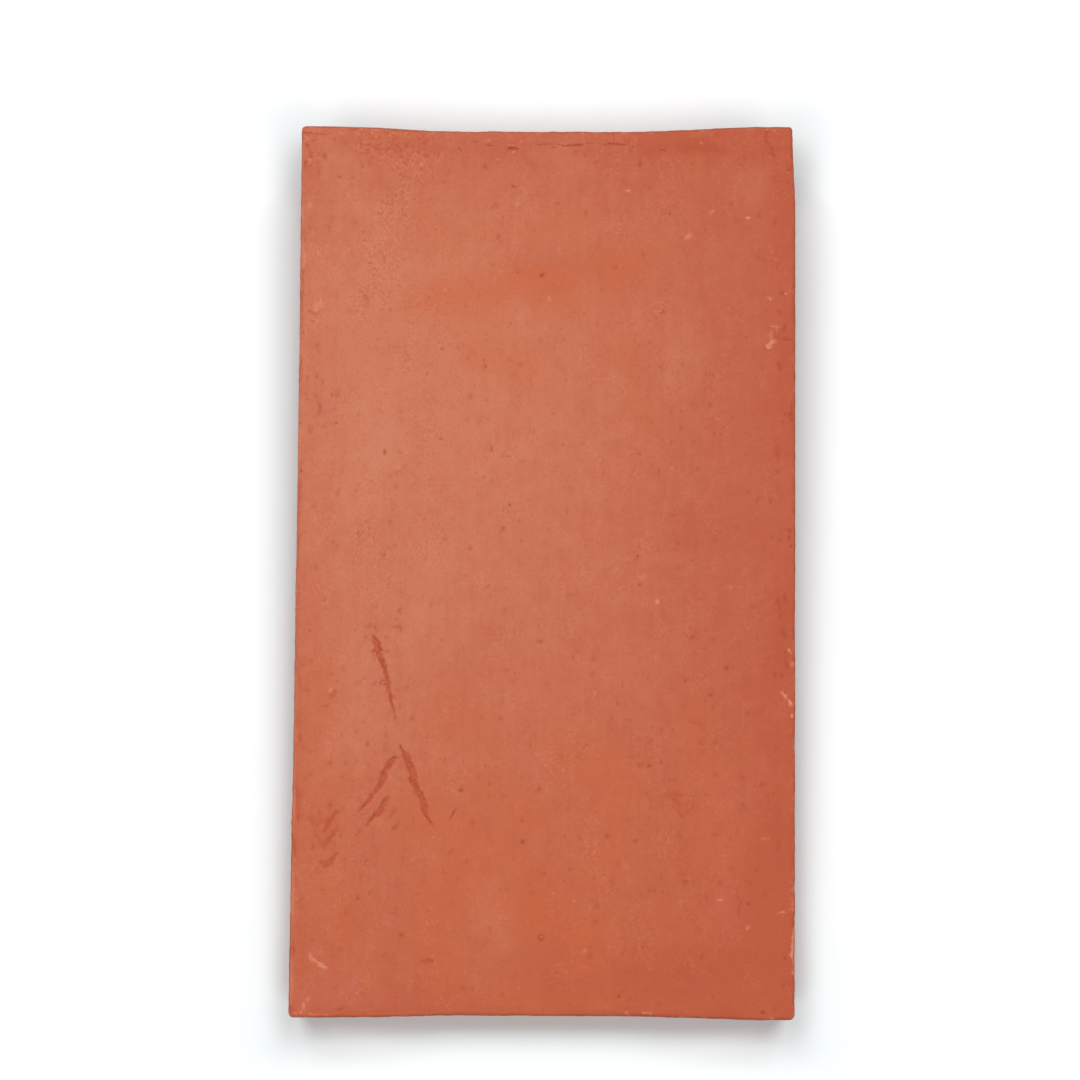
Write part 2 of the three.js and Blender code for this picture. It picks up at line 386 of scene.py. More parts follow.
# Soft smears, and broad patches that are only darker.
SMEARS = Mark.SMEAR.lines(
    (0.7, -64, -76.9, 0.2, -64.7, -77, 0.3, -65.2, -77.8, 0.4, -66, -79.2, 0.8, -66.7, -80.1, 0.9,
     -67.4, -81.2, 0.7, -68.3, -83, 0.4),
    (0.55, -72.4, -79.1, 0.3, -71.6, -80.1, 0.35, -70.3, -80.9, 0.35, -69.6, -80.9, 0.2),
    (0.3, -70.2, -79.7, 0.7, -68, -80.2, 0.7),
    (0.6, -64.3, -80.8, 0.2, -64.2, -82.1, 0.3, -65.2, -83.3, 0.6, -65.3, -84.3, 0.6, -66.2, -85.2,
     0.7, -67.2, -85.9, 0.8, -68.2, -87.2, 0.8, -68.1, -88.2, 0.4),
    (0.4, -70.6, -84.4, 0.6, -69.6, -85.6, 0.5, -68.9, -86.8, 0.5),
    (0.35, -70, -76, 0.3, -69.6, -77.4, 0.3), (0.5, -68.9, -92.2, 0.3, -68.4, -93.2, 0.4),
    (0.5, -46, -75.9, 0.25, -46.8, -77, 0.4, -47.7, -78.5, 0.35),
    (0.7, -45.2, -81, 0.35, -46.6, -82.1, 0.4), (0.65, -57.1, -82.8, 0.3, -57.9, -84, 0.35),
    (0.3, -57.3, -73.3, 0.4, -57, -74, 0.3), (0.4, -53.7, -27.8, 0.4, -53, -29.3, 0.3),
    (0.4, -52.7, -20.2, 0.2, -52.6, -21.2, 0.25), (0.35, -49.2, -52.6, 0.3, -49.1, -54, 0.4),
    (0.35, -49, -55.6, 0.4, -49.4, -57.2, 0.5), (0.4, -56.3, 128.6, 0.3, -56.2, 127.3, 0.4),
    (0.4, -72.5, 125.2, 0.4, -72.6, 123.8, 0.5), (0.4, -56.8, 85, 0.7, -56.3, 83, 0.5),
    (0.3, -16.2, 115.2, 0.9, -17.6, 114.3, 0.6), (0.4, 66.3, 98.3, 0.4, 68.8, 96.8, 0.4),
    (0.35, 62, 107.6, 0.3, 64.5, 107.4, 0.3), (0.6, 72.4, 38.8, 0.5, 72.7, 35.5, 0.7),
    (0.45, 75.4, 71.8, 0.4, 76.5, 67.5, 0.6, 73.3, 63.3, 0.5),
    (0.45, -65, -39.4, 0.4, -66.2, -41.3, 0.6),
    (0.6, -46.9, -19.1, 0.25, -46, -18.9, 0.35, -45.3, -19.3, 0.35, -44.9, -19.9, 0.2),
    (0.2, -38, -58, 0.3, -36, -60, 0.3), (0.4, 45.5, -48.3, 0.4, 50, -49.5, 0.4),
    (0.7, -34.7, -123.3, 0.45, -36, -122.8, 0.6, -36.3, -123.7, 0.7, -37.6, -123.4, 0.5),
    (0.45, 45.6, -22.2, 0.4, 46.8, -21.8, 0.4),
)
# The patches along the head, where its face rolls down past the crease, are painted shade.
SHADES = Mark.SHADE.lines(
    (0.35, -62, 136.2, 0.6, -59, 135.4, 1.2), (0.25, -66, 135, 1, -55, 134.2, 1, -32, 133.6, 1),
    (0.3, -39, 133.6, 0.5, -37.5, 135, 0.5), (0.4, 31, 135.5, 1.5, 43, 136, 2),
    (0.85, 43, 133.8, 1, 50.5, 134.2, 1.4, 55, 132.4, 0.6), (0.35, 73.5, 74, 1.5, 75.5, 62, 1.2),
    # The line where the right-hand rim meets the dish is painted shade.
    (0.25, 74, -8, 1, 74.5, -27, 1), (0.2, 72.5, -40, 0.3, 72.5, -100, 0.5),
    (0.2, -1, -96, 0.5, -3, -97.5, 0.8),
)

# Loosened skin above the right-hand end of the drags.
SCUFF_SHADES = Mark.SHADE.lines(
    (0.45, 39, -71.4, 0.6, 42, -72.2, 0.9, 42.2, -75, 0.5),
)
SCUFF_SMEARS = Mark.SMEAR.lines(
    (0.45, 37.4, -71.6, 0.3, 40.4, -71.2, 0.5, 42.8, -71.4, 0.6),
    (0.6, 40.6, -72.6, 0.6, 42.6, -74.2, 0.8),
    (0.6, 40.8, -74.8, 0.4, 42, -76, 0.5, 43.4, -77.8, 0.4),
    (0.8, 46.6, -71.9, 0.25, 44.4, -74.3, 0.35), (0.55, 46.8, -74.6, 0.3, 44.4, -76.8, 0.4),
)

# The broken crease that pushing out the nib left below the head, its cracks darkened as painted
# shade.
CREASE_CRACKS = Mark.CRACK.lines(
    (0.45, -77.6, 137.4, 0.3, -75.5, 137.3, 0.25, -73.6, 137.1, 0.1),
    (0.3, -76, 136.7, 0.15, -73, 136.8, 0.2, -69, 136.9, 0.08),
    (0.75, -28.1, 133.5, 0.25, -27.7, 132.9, 0.25),
    (0.75, -19.2, 134.8, 0.2, -18.7, 134.6, 0.2, -18.1, 134.6, 0.18, -17.2, 134.7, 0.1),
    (0.2, -24, 135.6, 0.15, -22.7, 135.6, 0.15),
    (0.8, -12.4, 133.4, 0.25, -11, 133.5, 0.3, -9.4, 133.5, 0.25),
    (0.95, -12.2, 133.9, 0.22, -10.6, 133.9, 0.2), (0.65, -5.4, 134.8, 0.12, -5.4, 134, 0.15),
    (0.25, -3.2, 134.9, 0.2, 1.5, 135.1, 0.2), (0.5, 1.9, 135, 0.15), (0.4, 1.6, 134, 0.12),
    (0.6, 3.5, 135, 0.2, 4.3, 135, 0.12), (0.35, 4.2, 136.9, 0.15, 4.9, 136.2, 0.12),
    (0.8, 4.8, 134.7, 0.2, 5.4, 134.7, 0.18),
    (0.95, 6.1, 134.7, 0.12, 6.6, 134.7, 0.2, 8.2, 134.7, 0.25, 9.5, 134.8, 0.25, 10.6, 134.8, 0.3,
     11.7, 135.1, 0.12), (0.45, 12.8, 135.3, 0.12, 14.2, 135.3, 0.12),
    (0.2, 14.8, 135.3, 0.1, 18.5, 135, 0.1), (0.4, 18.4, 134.9, 0.12, 18.9, 134.5, 0.12),
    (0.9, 19.4, 135.4, 0.12, 20.5, 135.3, 0.25, 22.5, 135.1, 0.3, 23.8, 135, 0.18, 25, 134.9, 0.08),
    (0.65, 35.6, 133.3, 0.15, 36.3, 133.1, 0.25, 37.2, 133, 0.12),
    (0.6, 69.9, 138.3, 0.3, 69.4, 137.2, 0.2, 69.4, 136, 0.25, 69.8, 134.6, 0.3, 70.8, 133, 0.3,
     71.6, 132.1, 0.2), (0.6, 70.5, 131.2, 0.15, 71.4, 130.8, 0.2, 71.8, 129.8, 0.15),
    (0.55, 76, 125.8, 0.25, 77.4, 125.9, 0.12),
    (0.4, 72, 72.5, 0.1, 74.5, 71.8, 0.15, 77.5, 71.6, 0.12),
    (0.6, 36, 80.6, 0.12, 36.9, 80.7, 0.15, 37.3, 81.3, 0.1),
    (0.4, 5.8, -97.5, 0.15, 7.1, -98.9, 0.15),
)
CREASE_SMEARS = Mark.SMEAR.lines(
    (0.3, 25.5, 136.3, 0.15, 27.5, 134.9, 0.2, 29.8, 133.3, 0.15),
    (0.3, 28.2, 134.4, 0.35, 29.8, 134.7, 0.35),
    (0.75, 31, 132.8, 0.2, 32.5, 132.8, 0.25, 33.2, 132.9, 0.3, 34.3, 132.8, 0.15),
    (0.55, 44.8, 133.1, 0.2, 46.3, 133.1, 0.15),
    (0.55, 48.2, 133.2, 0.15, 48.8, 132.9, 0.2, 51.6, 132.3, 0.15),
    (0.55, 53, 131.7, 0.25, 56, 131.3, 0.25, 60, 131.7, 0.15),
)

# Places where the skin came away and paler clay shows.
FLAKES = Mark.FLAKE.lines(
    (0.55, -71.4, 83.4, 0.7, -72.4, 82.2, 1.1, -72.9, 80.9, 0.6),
    (0.5, -76.8, 99.6, 0.3, -76.5, 97, 0.8, -76.8, 94.4, 0.5),
    (0.4, -75.3, 113.9, 0.4, -75.3, 113.1, 0.4), (0.35, 70.9, 74.4, 0.2, 70.9, 72.2, 0.2),
    (0.9, 74.6, -39.3, 0.2, 75.4, -40.3, 0.25), (0.95, 76.1, -41.1, 0.2, 77, -42.2, 0.3),
    (0.65, 75.2, 86.7, 0.12, 77.6, 87.6, 0.2),
    (0.7, 72.6, -107.3, 0.3, 74.3, -106.4, 0.35, 76.4, -105.7, 0.3),
    (0.35, 77.4, -98, 0.2, 77.3, -106, 0.3),
    (0.95, 77.7, -112, 0.2, 77.5, -116, 0.5, 77.2, -120.6, 0.45),
    (0.75, 77.6, -121.5, 0.3, 77.6, -125, 0.25), (0.6, -71.8, -121.3, 0.7, -70.9, -122.3, 0.9),
    (0.9, -70, -123.1, 0.45, -68.9, -123.8, 0.75, -66.9, -125, 0.55),
    (0.35, -77.4, -97.2, 0.3, -77.4, -101.5, 0.3), (0.35, -77.4, 90, 0.3, -77.3, 86.5, 0.4),
    (0.3, -77.4, 37, 0.2, -77.3, 34, 0.4), (0.4, -73.6, 67.9, 0.35, -73.2, 67.6, 0.35),
    (0.3, 75, 118.9, 0.15, 77, 118.6, 0.15), (0.25, 70.9, 112, 0.2, 70.6, 110.4, 0.2),
    (0.25, 68.2, -84, 0.3, 70, -84.2, 0.3), (0.35, -72, -139, 0.2, -66, -139.2, 0.2),
    (0.5, 47.2, -71.4, 0.1, 44.8, -73.4, 0.18),
)
LIFTED_SKIN = Mark.LIFTED.lines(
    (1, 71.2, 71.3, 0.35, 70.1, 69.6, 0.8),
)
CURLED_SKIN = Mark.CURLED.lines(
    (0.6, 71.2, 76.1, 0.2, 72, 76.1, 0.2, 72.7, 75.7, 0.2),
)

# Darker and paler lengths of the arrises.
EDGE_SMEARS = Mark.SMEAR.lines(
    (0.3, -76.2, -30, 0.1, -76.1, -54.6, 0.2), (0.5, -77.6, -57, 0.2, -77.5, -69.5, 0.3),
    (0.55, -76.6, -70, 0.4, -76.4, -74, 0.5, -76.3, -78.8, 0.3),
    (0.75, -77.7, -86, 0.3, -77.5, -88.5, 0.5, -77.8, -91.5, 0.2),
    (0.45, -76.7, -97.5, 0.2, -76.6, -99.5, 0.3),
    (0.85, -77.5, -116.4, 0.3, -77.3, -118.6, 0.5, -77.5, -121.4, 0.3),
    (0.45, -77.6, -131.5, 0.3, -77.6, -138, 0.4), (0.3, -77.4, 24, 0.3, -77.4, 0, 0.3),
    (0.4, -77.2, -7, 0.3, -77.2, -11, 0.3), (0.25, -77.3, 92, 0.3, -77.4, 72, 0.3),
    (0.7, -63, 138.9, 0.3, -60.5, 138.9, 0.3), (0.45, -55.5, 138.2, 0.15, -52, 138.2, 0.15),
    (0.5, 26.5, 138.8, 0.3, 35.5, 138.9, 0.3, 48, 139.4, 0.3),
    (0.4, 77.5, 124, 0.3, 77.6, 135, 0.3), (0.5, 77.6, -126, 0.2, 77.4, -130, 0.5, 77.6, -134, 0.2),
    (0.5, 77.6, -108, 0.3, 77.6, -112, 0.3), (0.7, -56.5, -138.8, 0.3, -54.5, -138.8, 0.3),
    (0.7, -35.8, -138, 0.2, -34.8, -138.6, 0.3), (0.3, -72, -138.6, 0.2, -40, -138.7, 0.3),
)
# Painted shade along the right-hand arris and along the tail's arris.
EDGE_SHADES = Mark.SHADE.lines(
    (0.3, 77.9, 120, 0.1, 77.9, -120, 0.1), (0.25, -70, -138.5, 0.5, 70, -138.5, 0.5),
)
# Painted light along the left-hand arris.
PAINTED_LIGHT_EDGES = Mark.PAINTED_LIGHT.lines(
    (0.45, -77.7, 134, 0.4, -77.7, -136, 0.4),
)

# Holes where grains fell out, dents along the two rims, and fainter specks, darkened as painted
# shade.
PITS = Mark.PIT.spots(
    (-1.5, 92.9, 0.55, 0.95), (-19.7, 127.7, 0.35, 0.8, 0.5, -0.3), (29.6, 128.7, 0.4, 0.75),
    (15.3, 129, 0.3, 0.4), (-10.8, 121.4, 0.3, 0.85, 0.5, -0.4), (12.4, 112.9), (39.1, 112.5),
    (-45, 128.6, 0.4), (-31.2, 125.6, 0.25), (-65.7, 123.1, 0.3, 0.7, 0.5, 0),
    (-70.7, 129.9, 0.3, 0.7, 0, 1.2), (-74.9, 130.3, 0.4, 0.45, 0.2, 1.6),
    (-77.1, 127.8, 0.35, 0.7, 0.9, 0.1), (-76.2, 133.3, 0.3, 0.5), (-73.8, 134.9, 0.2),
    (-67.4, 135.5, 0.25, 0.4), (-58.6, 126.8, 0.3), (-40, 126.6, 0.3), (-9.1, 93.8, 0.3),
    (-33.2, 69), (-19.1, 63.6, 0.3, 0.6, 0, 0.8), (-15.5, 105.2, 0.3, 0.5, 0, 1.2),
    (30.7, 99.4, 0.35, 0.3), (-65.8, 44.8, 0.3), (-33.3, 40.2, 0.3), (-17, 37, 0.4),
    (-50.8, 35.7, 0.4, 0.75, 0.1, 0.9), (-11.2, 19.5, 0.35, 0.8), (-13.1, 12.2, 0.45), (-23.6, 5.5),
    (-58.6, 10.3, 0.3), (-58.2, 9.2, 0.3), (-50.4, 3.5, 0.4, 0.4), (75.3, 48.3, 0.3),
    (74.5, 46, 0.3, 0.5), (70.6, 20.8, 0.3), (76.5, 9.5), (77.1, 6.8, 0.3), (72, -33.5, 0.3, 0.5),
    (74.7, 86.5, 0.25), (75.1, 75.9, 0.3, 0.6, 0.1, 1), (-45.4, -13.8, 0.3, 0.6, 1),
    (-54.6, -18.9, 0.3, 0.35, 0, 1), (-53.1, -19.3, 0.3), (-49, -26.9, 0.45, 0.5, 0.4, 0),
    (-59.3, -20.8, 0.3, 0.4), (-73.9, -18.2, 0.3, 0.4), (-66.4, -34.3, 0.3, 0.4),
    (-67.8, -44, 0.5, 0.35), (-52.9, -37.3, 0.3, 0.4, 0.2, 0.6), (-1, -23.6, 0.35, 0.8),
    (57.1, -31.3), (-13.4, -47.9, 0.35, 0.6, 0.6, 0.2), (-41.3, -47.8, 0.7, 0.35), (-54.9, -55.8),
    (29.3, 3.5, 0.25, 0.8), (30.1, -5.4, 0.25, 0.8), (33, -62.1), (32.6, -62.6, 0.5, 0.3),
    (36.9, -61.2, 0.35, 0.5), (-26, -70.2, 0.4, 1), (-1.2, -69.4, 0.35, 0.8), (-6.6, -79.5, 0.45),
    (-22.2, -80.6), (20, -84.6), (20, -84.2, 0.9, 0.35), (-6.3, -86.1, 0.45, 0.9),
    (-5.7, -86.8, 0.3, 0.4), (-23.8, -92.2, 0.35, 0.5), (-55, -92.4, 0.4, 0.4, 0.6, 1.2),
    (0.5, -96), (-53.8, -101.9, 0.3), (-57.4, -103.7, 0.3), (-43.9, -114.9, 0.35, 1, 0.6, 0),
    (24, -133.7, 0.5), (68, -137.4, 0.4, 0.8), (-76.6, 29.5, 0.35, 0.85),
    (-77.3, 104.9, 0.4, 0.6, 0.5, 0.8), (-76.9, 86.5, 0.3), (-73.4, 77, 0.3),
    (-72.3, 59.3, 0.5, 0.35), (-67.5, 53.7, 0.35, 0.5), (75.2, -121, 0.25),
    (-31, -61, 0.35, 0.3, 0.3, 1.4), (-69, -10.8, 0.35, 0.5), (49, -55, 0.4, 0.4),
    (53.8, -64.5, 0.3, 0.5), (52, -39.9, 0.4, 0.5), (44.2, -35.5, 0.4, 0.45),
    (23, -42.6, 0.3, 0.45, -0.5, 1.2), (8.5, -94.7, 0.4, 0.5), (16.1, -97.3, 0.35, 0.5),
    (44.7, -97.8, 0.4, 0.5), (16.8, -110.8, 0.4, 0.5), (15, -121.7, 0.7, 0.3, 0.8, 0),
    (24.9, -120.8, 0.3, 0.5), (31.2, -118.6, 0.5, 0.35), (63.9, -104.3, 0.4),
    (-61.3, -108.2, 0.2, 0.7), (-62.4, -137.7, 0.4, 0.6, 1.2, 0.5), (-75, -78.2, 0.4, 0.4),
    (-71.6, -88.2, 0.5, 0.35), (-63, -53.5, 0.3, 0.4), (46.5, -22, 0.4, 0.4), (58.5, 115, 0.3, 0.4),
    (47.7, 31, 0.3, 0.4), (-13.3, 17.5, 0.3, 0.4),
)
DENTS = Mark.DENT.spots(
    (-76, 132.8, 0.3, 0.5, 1.2, -1.4), (-77.3, 104.5, 0.35, 0.5, 0.2, 3.4),
    (-76.4, 103.6, 0.35, 0.4, 0.5, 0.9), (-76.7, 93.5, 0.2, 0.4, 1, -0.3),
    (-74, 86.2, 0.2, 0.35, 1.6, -0.3), (-74.2, 79.9, 0.3, 0.5, 1.6, -0.9),
    (-72.6, 79.4, 0.3, 0.45, 1, 0.4), (-72, 68.6, 0.35, 0.5, -0.5, 2),
    (-77.3, 65, 0.35, 0.45, 0.2, 2.4), (-75.2, 58.6, 0.45, 0.45, 0.6, -1.2),
    (-70.2, 57.8, 0.4, 0.3, 0.4, 0.8), (-72.2, 53.2, 0.35, 0.4, 0.7, -1.2),
    (-65.5, 53.7, 0.3, 0.3, 1, 1), (-74.7, 52.1, 0.35, 0.4, 0.6, -0.8),
    (-71.2, 50.1, 0.4, 0.45, -0.4, 1.2), (-71.4, 48.4, 0.35, 0.4, 0.4),
    (-74.2, 42.4, 0.35, 0.4, -0.4, 1.4), (-70, 43.7, 0.4, 0.3, 0.5, 0.9),
    (-77.2, 31, 0.35, 0.55, 0.4, -3.2), (-76.9, 25.3, 0.35, 0.35, 0.2, 1.6),
    (-65.3, 22.8, 0.4, 0.4, 0.2, 0.9), (-72.3, 18.5, 0.4, 0.3, 0.4, 0.8),
    (-71.6, -0.8, 0.45, 0.5, 0.4, 0.8), (-65.3, 5.2, 0.3, 0.35, 0, 1.4),
    (-75.8, -54, 0.35, 0.45, 0.3, -0.9), (-74.4, -57.3, 0.4, 0.3, 1.4, -0.4),
    (-72.2, -58, 0.35, 0.35, 1.4, -0.3), (-66.4, -61.4), (-73.4, -65.9, 0.45, 0.35, 1.6, 1.6),
    (-75.9, -78, 0.35, 0.4, 0.2, 0.8), (-75.5, -104.5, 0.45, 0.35, 0.3, 0.9),
    (-66.2, -75.1, 0.5, 0.3, 0.5, 0.4), (-72.9, -30.5, 0.4, 0.25, 0.5, 0.9),
    (-74.8, 106.9, 0.4, 0.3, 0.4, 1), (72.2, 122.9, 0.3, 0.3, 0.8, -1.2),
    (74.8, 122, 0.25, 0.25, 2, 0), (67, 112, 0.3, 0.25, 0.3, 2.6),
    (72.1, 109.2, 0.4, 0.35, 0.6, 0.7), (71.1, 96.7, 0.4, 0.3, 0.9, -0.5),
    (73.3, 95.6, 0.4, 0.35, 0.4, 0.8), (74, 80.5, 0.5, 0.3, 1.8, -0.8),
    (73.6, 63.3, 0.45, 0.6, -0.4, 1.6), (77.3, 50, 0.3, 0.5, -0.3, 4),
    (76.7, 48.2, 0.3, 0.5, 0.6, 0.3), (77.4, 46.9, 0.3, 0.45, 0.1, 0.8),
    (73.3, 34.4, 0.35, 0.3, 0.3, 1.6), (66.7, 21.6, 0.35, 0.4, 0.6),
    (76.8, 11.6, 0.3, 0.45, 0.9, -0.9), (73.3, 8.7, 0.4, 0.3, 0.4), (75.2, -9.7, 0.4, 0.5, -0.1, 1),
    (73.3, -11.2, 0.45, 0.4, 0.4, -2.6), (73.8, -15.1, 0.4, 0.4, 0.2, 1),
    (75, -20.8, 0.4, 0.5, -0.4, 2.2), (75.6, -26.4, 0.3, 0.65, 0.8, 0.3),
    (75.4, -29.4, 0.6, 0.35, -0.8, 2.6), (74.5, -33.3, 0.4, 0.45, 0.3, 0.8),
    (61.8, -65.4, 0.35, 0.45, 0.6, -0.3), (67.8, -67.8, 0.45, 0.3, 0.6),
    (62.3, -74.5, 0.35, 0.4, 0.6, -1), (73.1, -86.2, 0.4, 0.25, 0.2, 1.6),
    (66, -94, 0.45, 0.3, 0.4, 0.8), (72.5, -56.2, 0.45, 0.25, 0.5, 0.8),
    (60.9, -102.8, 0.5, 0.3, 1, -2.4), (60.8, -106.8, 0.55, 0.3, 0.3, -2.6),
)
SPECKS = Mark.SPECK.spots(
    (-45, 135), (-15.6, 129), (-9.5, 129.5), (-15, 103.6), (-19.8, 99.2), (-21.5, 86), (-59, 86.3),
    (-57, 82.6), (-59.3, 95), (-57.5, 103), (-60.5, 108.5), (-68, 110), (-69, 107), (-73.5, 106.5),
    (-74.5, 103), (-76.5, 94), (-46.3, 124.2), (17.6, 88.6), (22, 95.5), (60.3, 109.8),
    (17.8, 127.3), (12.5, 126.3), (8, 122.6), (32.7, 120.8), (20, 132), (76, 121.8), (-73.4, 79.4),
    (-76.7, 73.4), (-62.7, 80), (-72, 69.4), (-72, 68), (-34.5, 81), (-42.3, 77), (-24, 53.8),
    (-9.9, 61.2), (-11.5, 65.5), (-8, 64.5), (-20.8, 46.2), (-25, 46.5), (-7.7, 33.2), (-3.8, 43),
    (-3, 33.3), (-13.6, 35.3), (-66.5, 37), (-71.5, 51.4), (-75, 58.5), (-76.4, 32), (-51.5, 48.3),
    (-44.5, 31), (-46.7, 29.5), (-48.5, 28.5), (-46.8, 24.7), (-17, 27), (-36.5, 27.3),
    (32.8, 71.3), (32.7, 64), (36.4, 63.4), (36.4, 62.2), (13.8, 57.2), (5.2, 62.5), (2.5, 48.5),
    (11.8, 39), (33.3, 35), (39.7, 39.3), (46.2, 39.5), (43, 43.4), (51.7, 51.3), (34, 46),
    (35.8, 30.5), (33.7, 51.5), (52.8, 60.8), (57.5, 64), (48.7, 78), (69, 69), (68, 63),
    (72.7, 30), (-58, 7.5), (-48.9, 13.5), (-47.5, 6.2), (-37.6, 2.3), (-31.8, 8.5), (-7.4, 8.2),
    (-8.3, 14.3), (-4.7, 2.7), (-0.5, 7), (-17.9, -6.4), (-71.3, -1), (-46.3, -17), (-45.5, -18),
    (-11.6, -33), (-12.5, -13.5), (-35.8, -12), (71.5, 9.3), (53.6, 8.7), (41.9, 7.8), (35.5, 5.4),
    (28.9, 2.6), (7.7, -9.4), (0.7, 2.7), (7, 17.5), (42.1, 0.2), (60, 12.5), (52.8, -22.5),
    (50.5, -19.3), (15.3, -33.5), (10.5, -26.3), (15.3, -28.7), (60.5, -12.8), (65.3, -12.5),
    (75.3, -9.5), (73, -10.5), (-77, 55.5), (-75.6, 53.5), (-73.8, -39.2), (-65, -42.8),
    (-63.2, -31.9), (-56.6, -77.5), (-54.4, -62.2), (-61.6, -61.5), (-68.6, -92.3), (-66.3, -74.7),
    (-62.2, -75.6), (-74.8, -57), (-73, -58.5), (-74, -66), (-76.3, -105), (-76, -112.5),
    (-12.5, -72.2), (-17.2, -72), (-13.3, -42.3), (-16.8, -43), (-19.2, -47.3), (-20.3, -66.3),
    (-33, -44), (-45.2, -44.4), (-46.1, -39.1), (-42.9, -38), (-42.1, -35.7), (-10, -36),
    (-57.8, -36.8), (-64.5, -36.6), (-75.8, -54.5), (-58.6, -52.3), (-56.5, -49.2), (-45, -66.8),
    (-17.3, -85.3), (-28.7, -89.5), (-43.5, -91), (-9.2, -91.5), (-65.4, -88.6), (-64.9, -86.6),
    (-63, -84), (-70.1, -86.5), (-49.6, -22.7), (-55.7, -22.6), (30, -62), (43.8, -43.3),
    (53, -43.5), (63.6, -45.8), (49.7, -57.3), (21.3, -47.5), (21.3, -51), (26.4, -47.9), (34, -50),
    (37, -51), (40.5, -51.2), (33.3, -54.5), (13.4, -56), (27.2, -59.5), (6, -60), (10.7, -59.3),
    (53.5, -54.5), (41, -66.7), (26.4, -79.1), (32, -71), (50.8, -71), (6.7, -84.2), (11.5, -85.2),
    (42.5, -83.8), (38.5, -84.7), (28.5, -85.7), (23.5, -92), (53.3, -83), (61.5, -75), (52.8, -76),
    (58.3, -84.6), (57.5, -87), (-39.4, -107.6), (-40.3, -110), (-46.6, -108.4), (-56.7, -97),
    (-68.7, -101), (-13.2, -101), (-11.2, -100.8), (-3.6, -102.2), (-31, -96), (-26.5, -98),
    (-62.5, -119.3), (-49.5, -121.5), (-43, -129), (-42.8, -131.5), (-39.3, -131.7), (-64, -131.3),
    (-74.3, -131), (-18.2, -118.3), (-16.2, -113), (-24.8, -131.5), (-21.7, -131.5),
    (-53.2, -136.8), (-7, -137.7), (21.6, -98.2), (23.4, -100.9), (33, -100.8), (34.8, -101),
    (17, -105.8), (15.6, -104), (13.3, -110), (14.5, -119), (27, -126.2), (43.3, -95.8),
    (46.8, -98), (37, -96.5), (25.9, -131.6), (26.6, -137.4), (51, -103), (64.3, -97.5), (69, -101),
    (55.3, -97.8), (53.4, -96.2), (58.5, -93.6), (72, -136.5), (36.5, -135.5), (4.2, -126.6),
    (45, -123.5), (49.5, -121), (42.8, -126), (55, -118.7), (66, -120.8), (75.5, -128.5),
    (74.5, -129.5), (-76, -138), (27.3, -134.5),
)

# Pale grains.
GRITS = Mark.GRIT.spots(
    (26, 120.1, 0.6, 1), (63.6, 110.6, 0.55, 0.9), (44.8, 105.2, 0.35), (-39.9, 127.8, 0.4, 0.7),
    (0.8, 85.5, 0.35), (70.5, 84.8, 0.28, 1), (35.4, -10.9, 0.65), (-66.6, -39.1, 0.7, 0.6),
    (-75.3, 128.6, 0.3), (-75.5, 127.6, 0.4, 0.6), (-76.3, 135, 0.6, 0.5), (-76, 134.2, 0.4, 0.4),
    (48.8, 134.9, 0.4, 0.5), (-15.6, 130.1, 0.3), (-10.6, 132.6, 0.3), (-11.2, 132, 0.2),
    (-12.2, 134.9, 0.2, 0.5), (-11, 134.6, 0.25, 0.5), (-18.9, 136.4, 0.2), (-8.3, 136.2, 0.2),
    (-66.3, 137.4, 0.3, 0.6), (72, 138.7, 0.45, 0.9), (69.7, 139.2, 0.4, 0.5),
    (76.4, -25.8, 0.45, 0.95), (77.3, -26.3, 0.3), (77.5, -23.2, 0.3), (77.4, -20.6, 0.25),
    (77.5, -29.8, 0.5, 0.95), (77.3, -46.2, 0.45, 1), (77.2, -75.6, 0.3), (77.4, -66, 0.25, 0.6),
    (63.3, -112, 0.35), (55.3, -103.3, 0.35), (-72.3, 98.7, 0.6, 0.4), (-77.3, -92, 0.35, 0.6),
    (-72.7, -135, 0.25), (-73.6, -136.2, 0.35), (-74.6, -138.7, 0.4), (-76, -139, 0.3),
    (-37.1, -79.1, 0.3, 0.7), (-32, 87.5, 0.3, 0.5), (36, 81.3, 0.35, 0.6), (52.5, 113, 0.3, 0.5),
    (-9.5, 115.2, 0.3, 0.5), (45.5, 36.4, 0.3, 0.5), (-46.3, 30.6, 0.3, 0.5),
    (58.5, -5.7, 0.3, 0.6), (30.7, -3.2, 0.3, 0.5), (3.3, -102.3, 0.35, 0.7),
    (15.9, -39.6, 0.6, 0.35), (-34, -121.8, 0.3, 0.25), (-33.4, -124.3, 0.3, 0.25),
    (26.3, -138.9, 0.4, 0.6), (31.3, -138.7, 0.3, 0.6), (33.6, -138.8, 0.35, 0.6),
    (71.2, -139.3, 0.4, 0.5), (-0.2, -115.7, 0.2, 0.5), (-59.1, -52.9, 0.3, 0.4),
    (26, -93.5, 0.5, 0.3), (-65.3, 137.2, 0.3, 0.4), (-49, 138, 0.3, 0.6), (-45, 138.2, 0.3, 0.6),
    (13.5, -119.5, 0.25, 0.5), (-37.7, -52.5, 0.3, 0.4), (6, -64, 0.4, 0.4), (77, -103, 0.3, 0.5),
)
# The ring round a hole whose grain is still in it, darkened as painted shade.
RING = Mark.FURROW.lines((0.65, *(number for turn in range(7) for number in (
    -0.4 + 0.8 * math.cos(turn), -115.9 + 0.9 * math.sin(turn), 0.25
))))


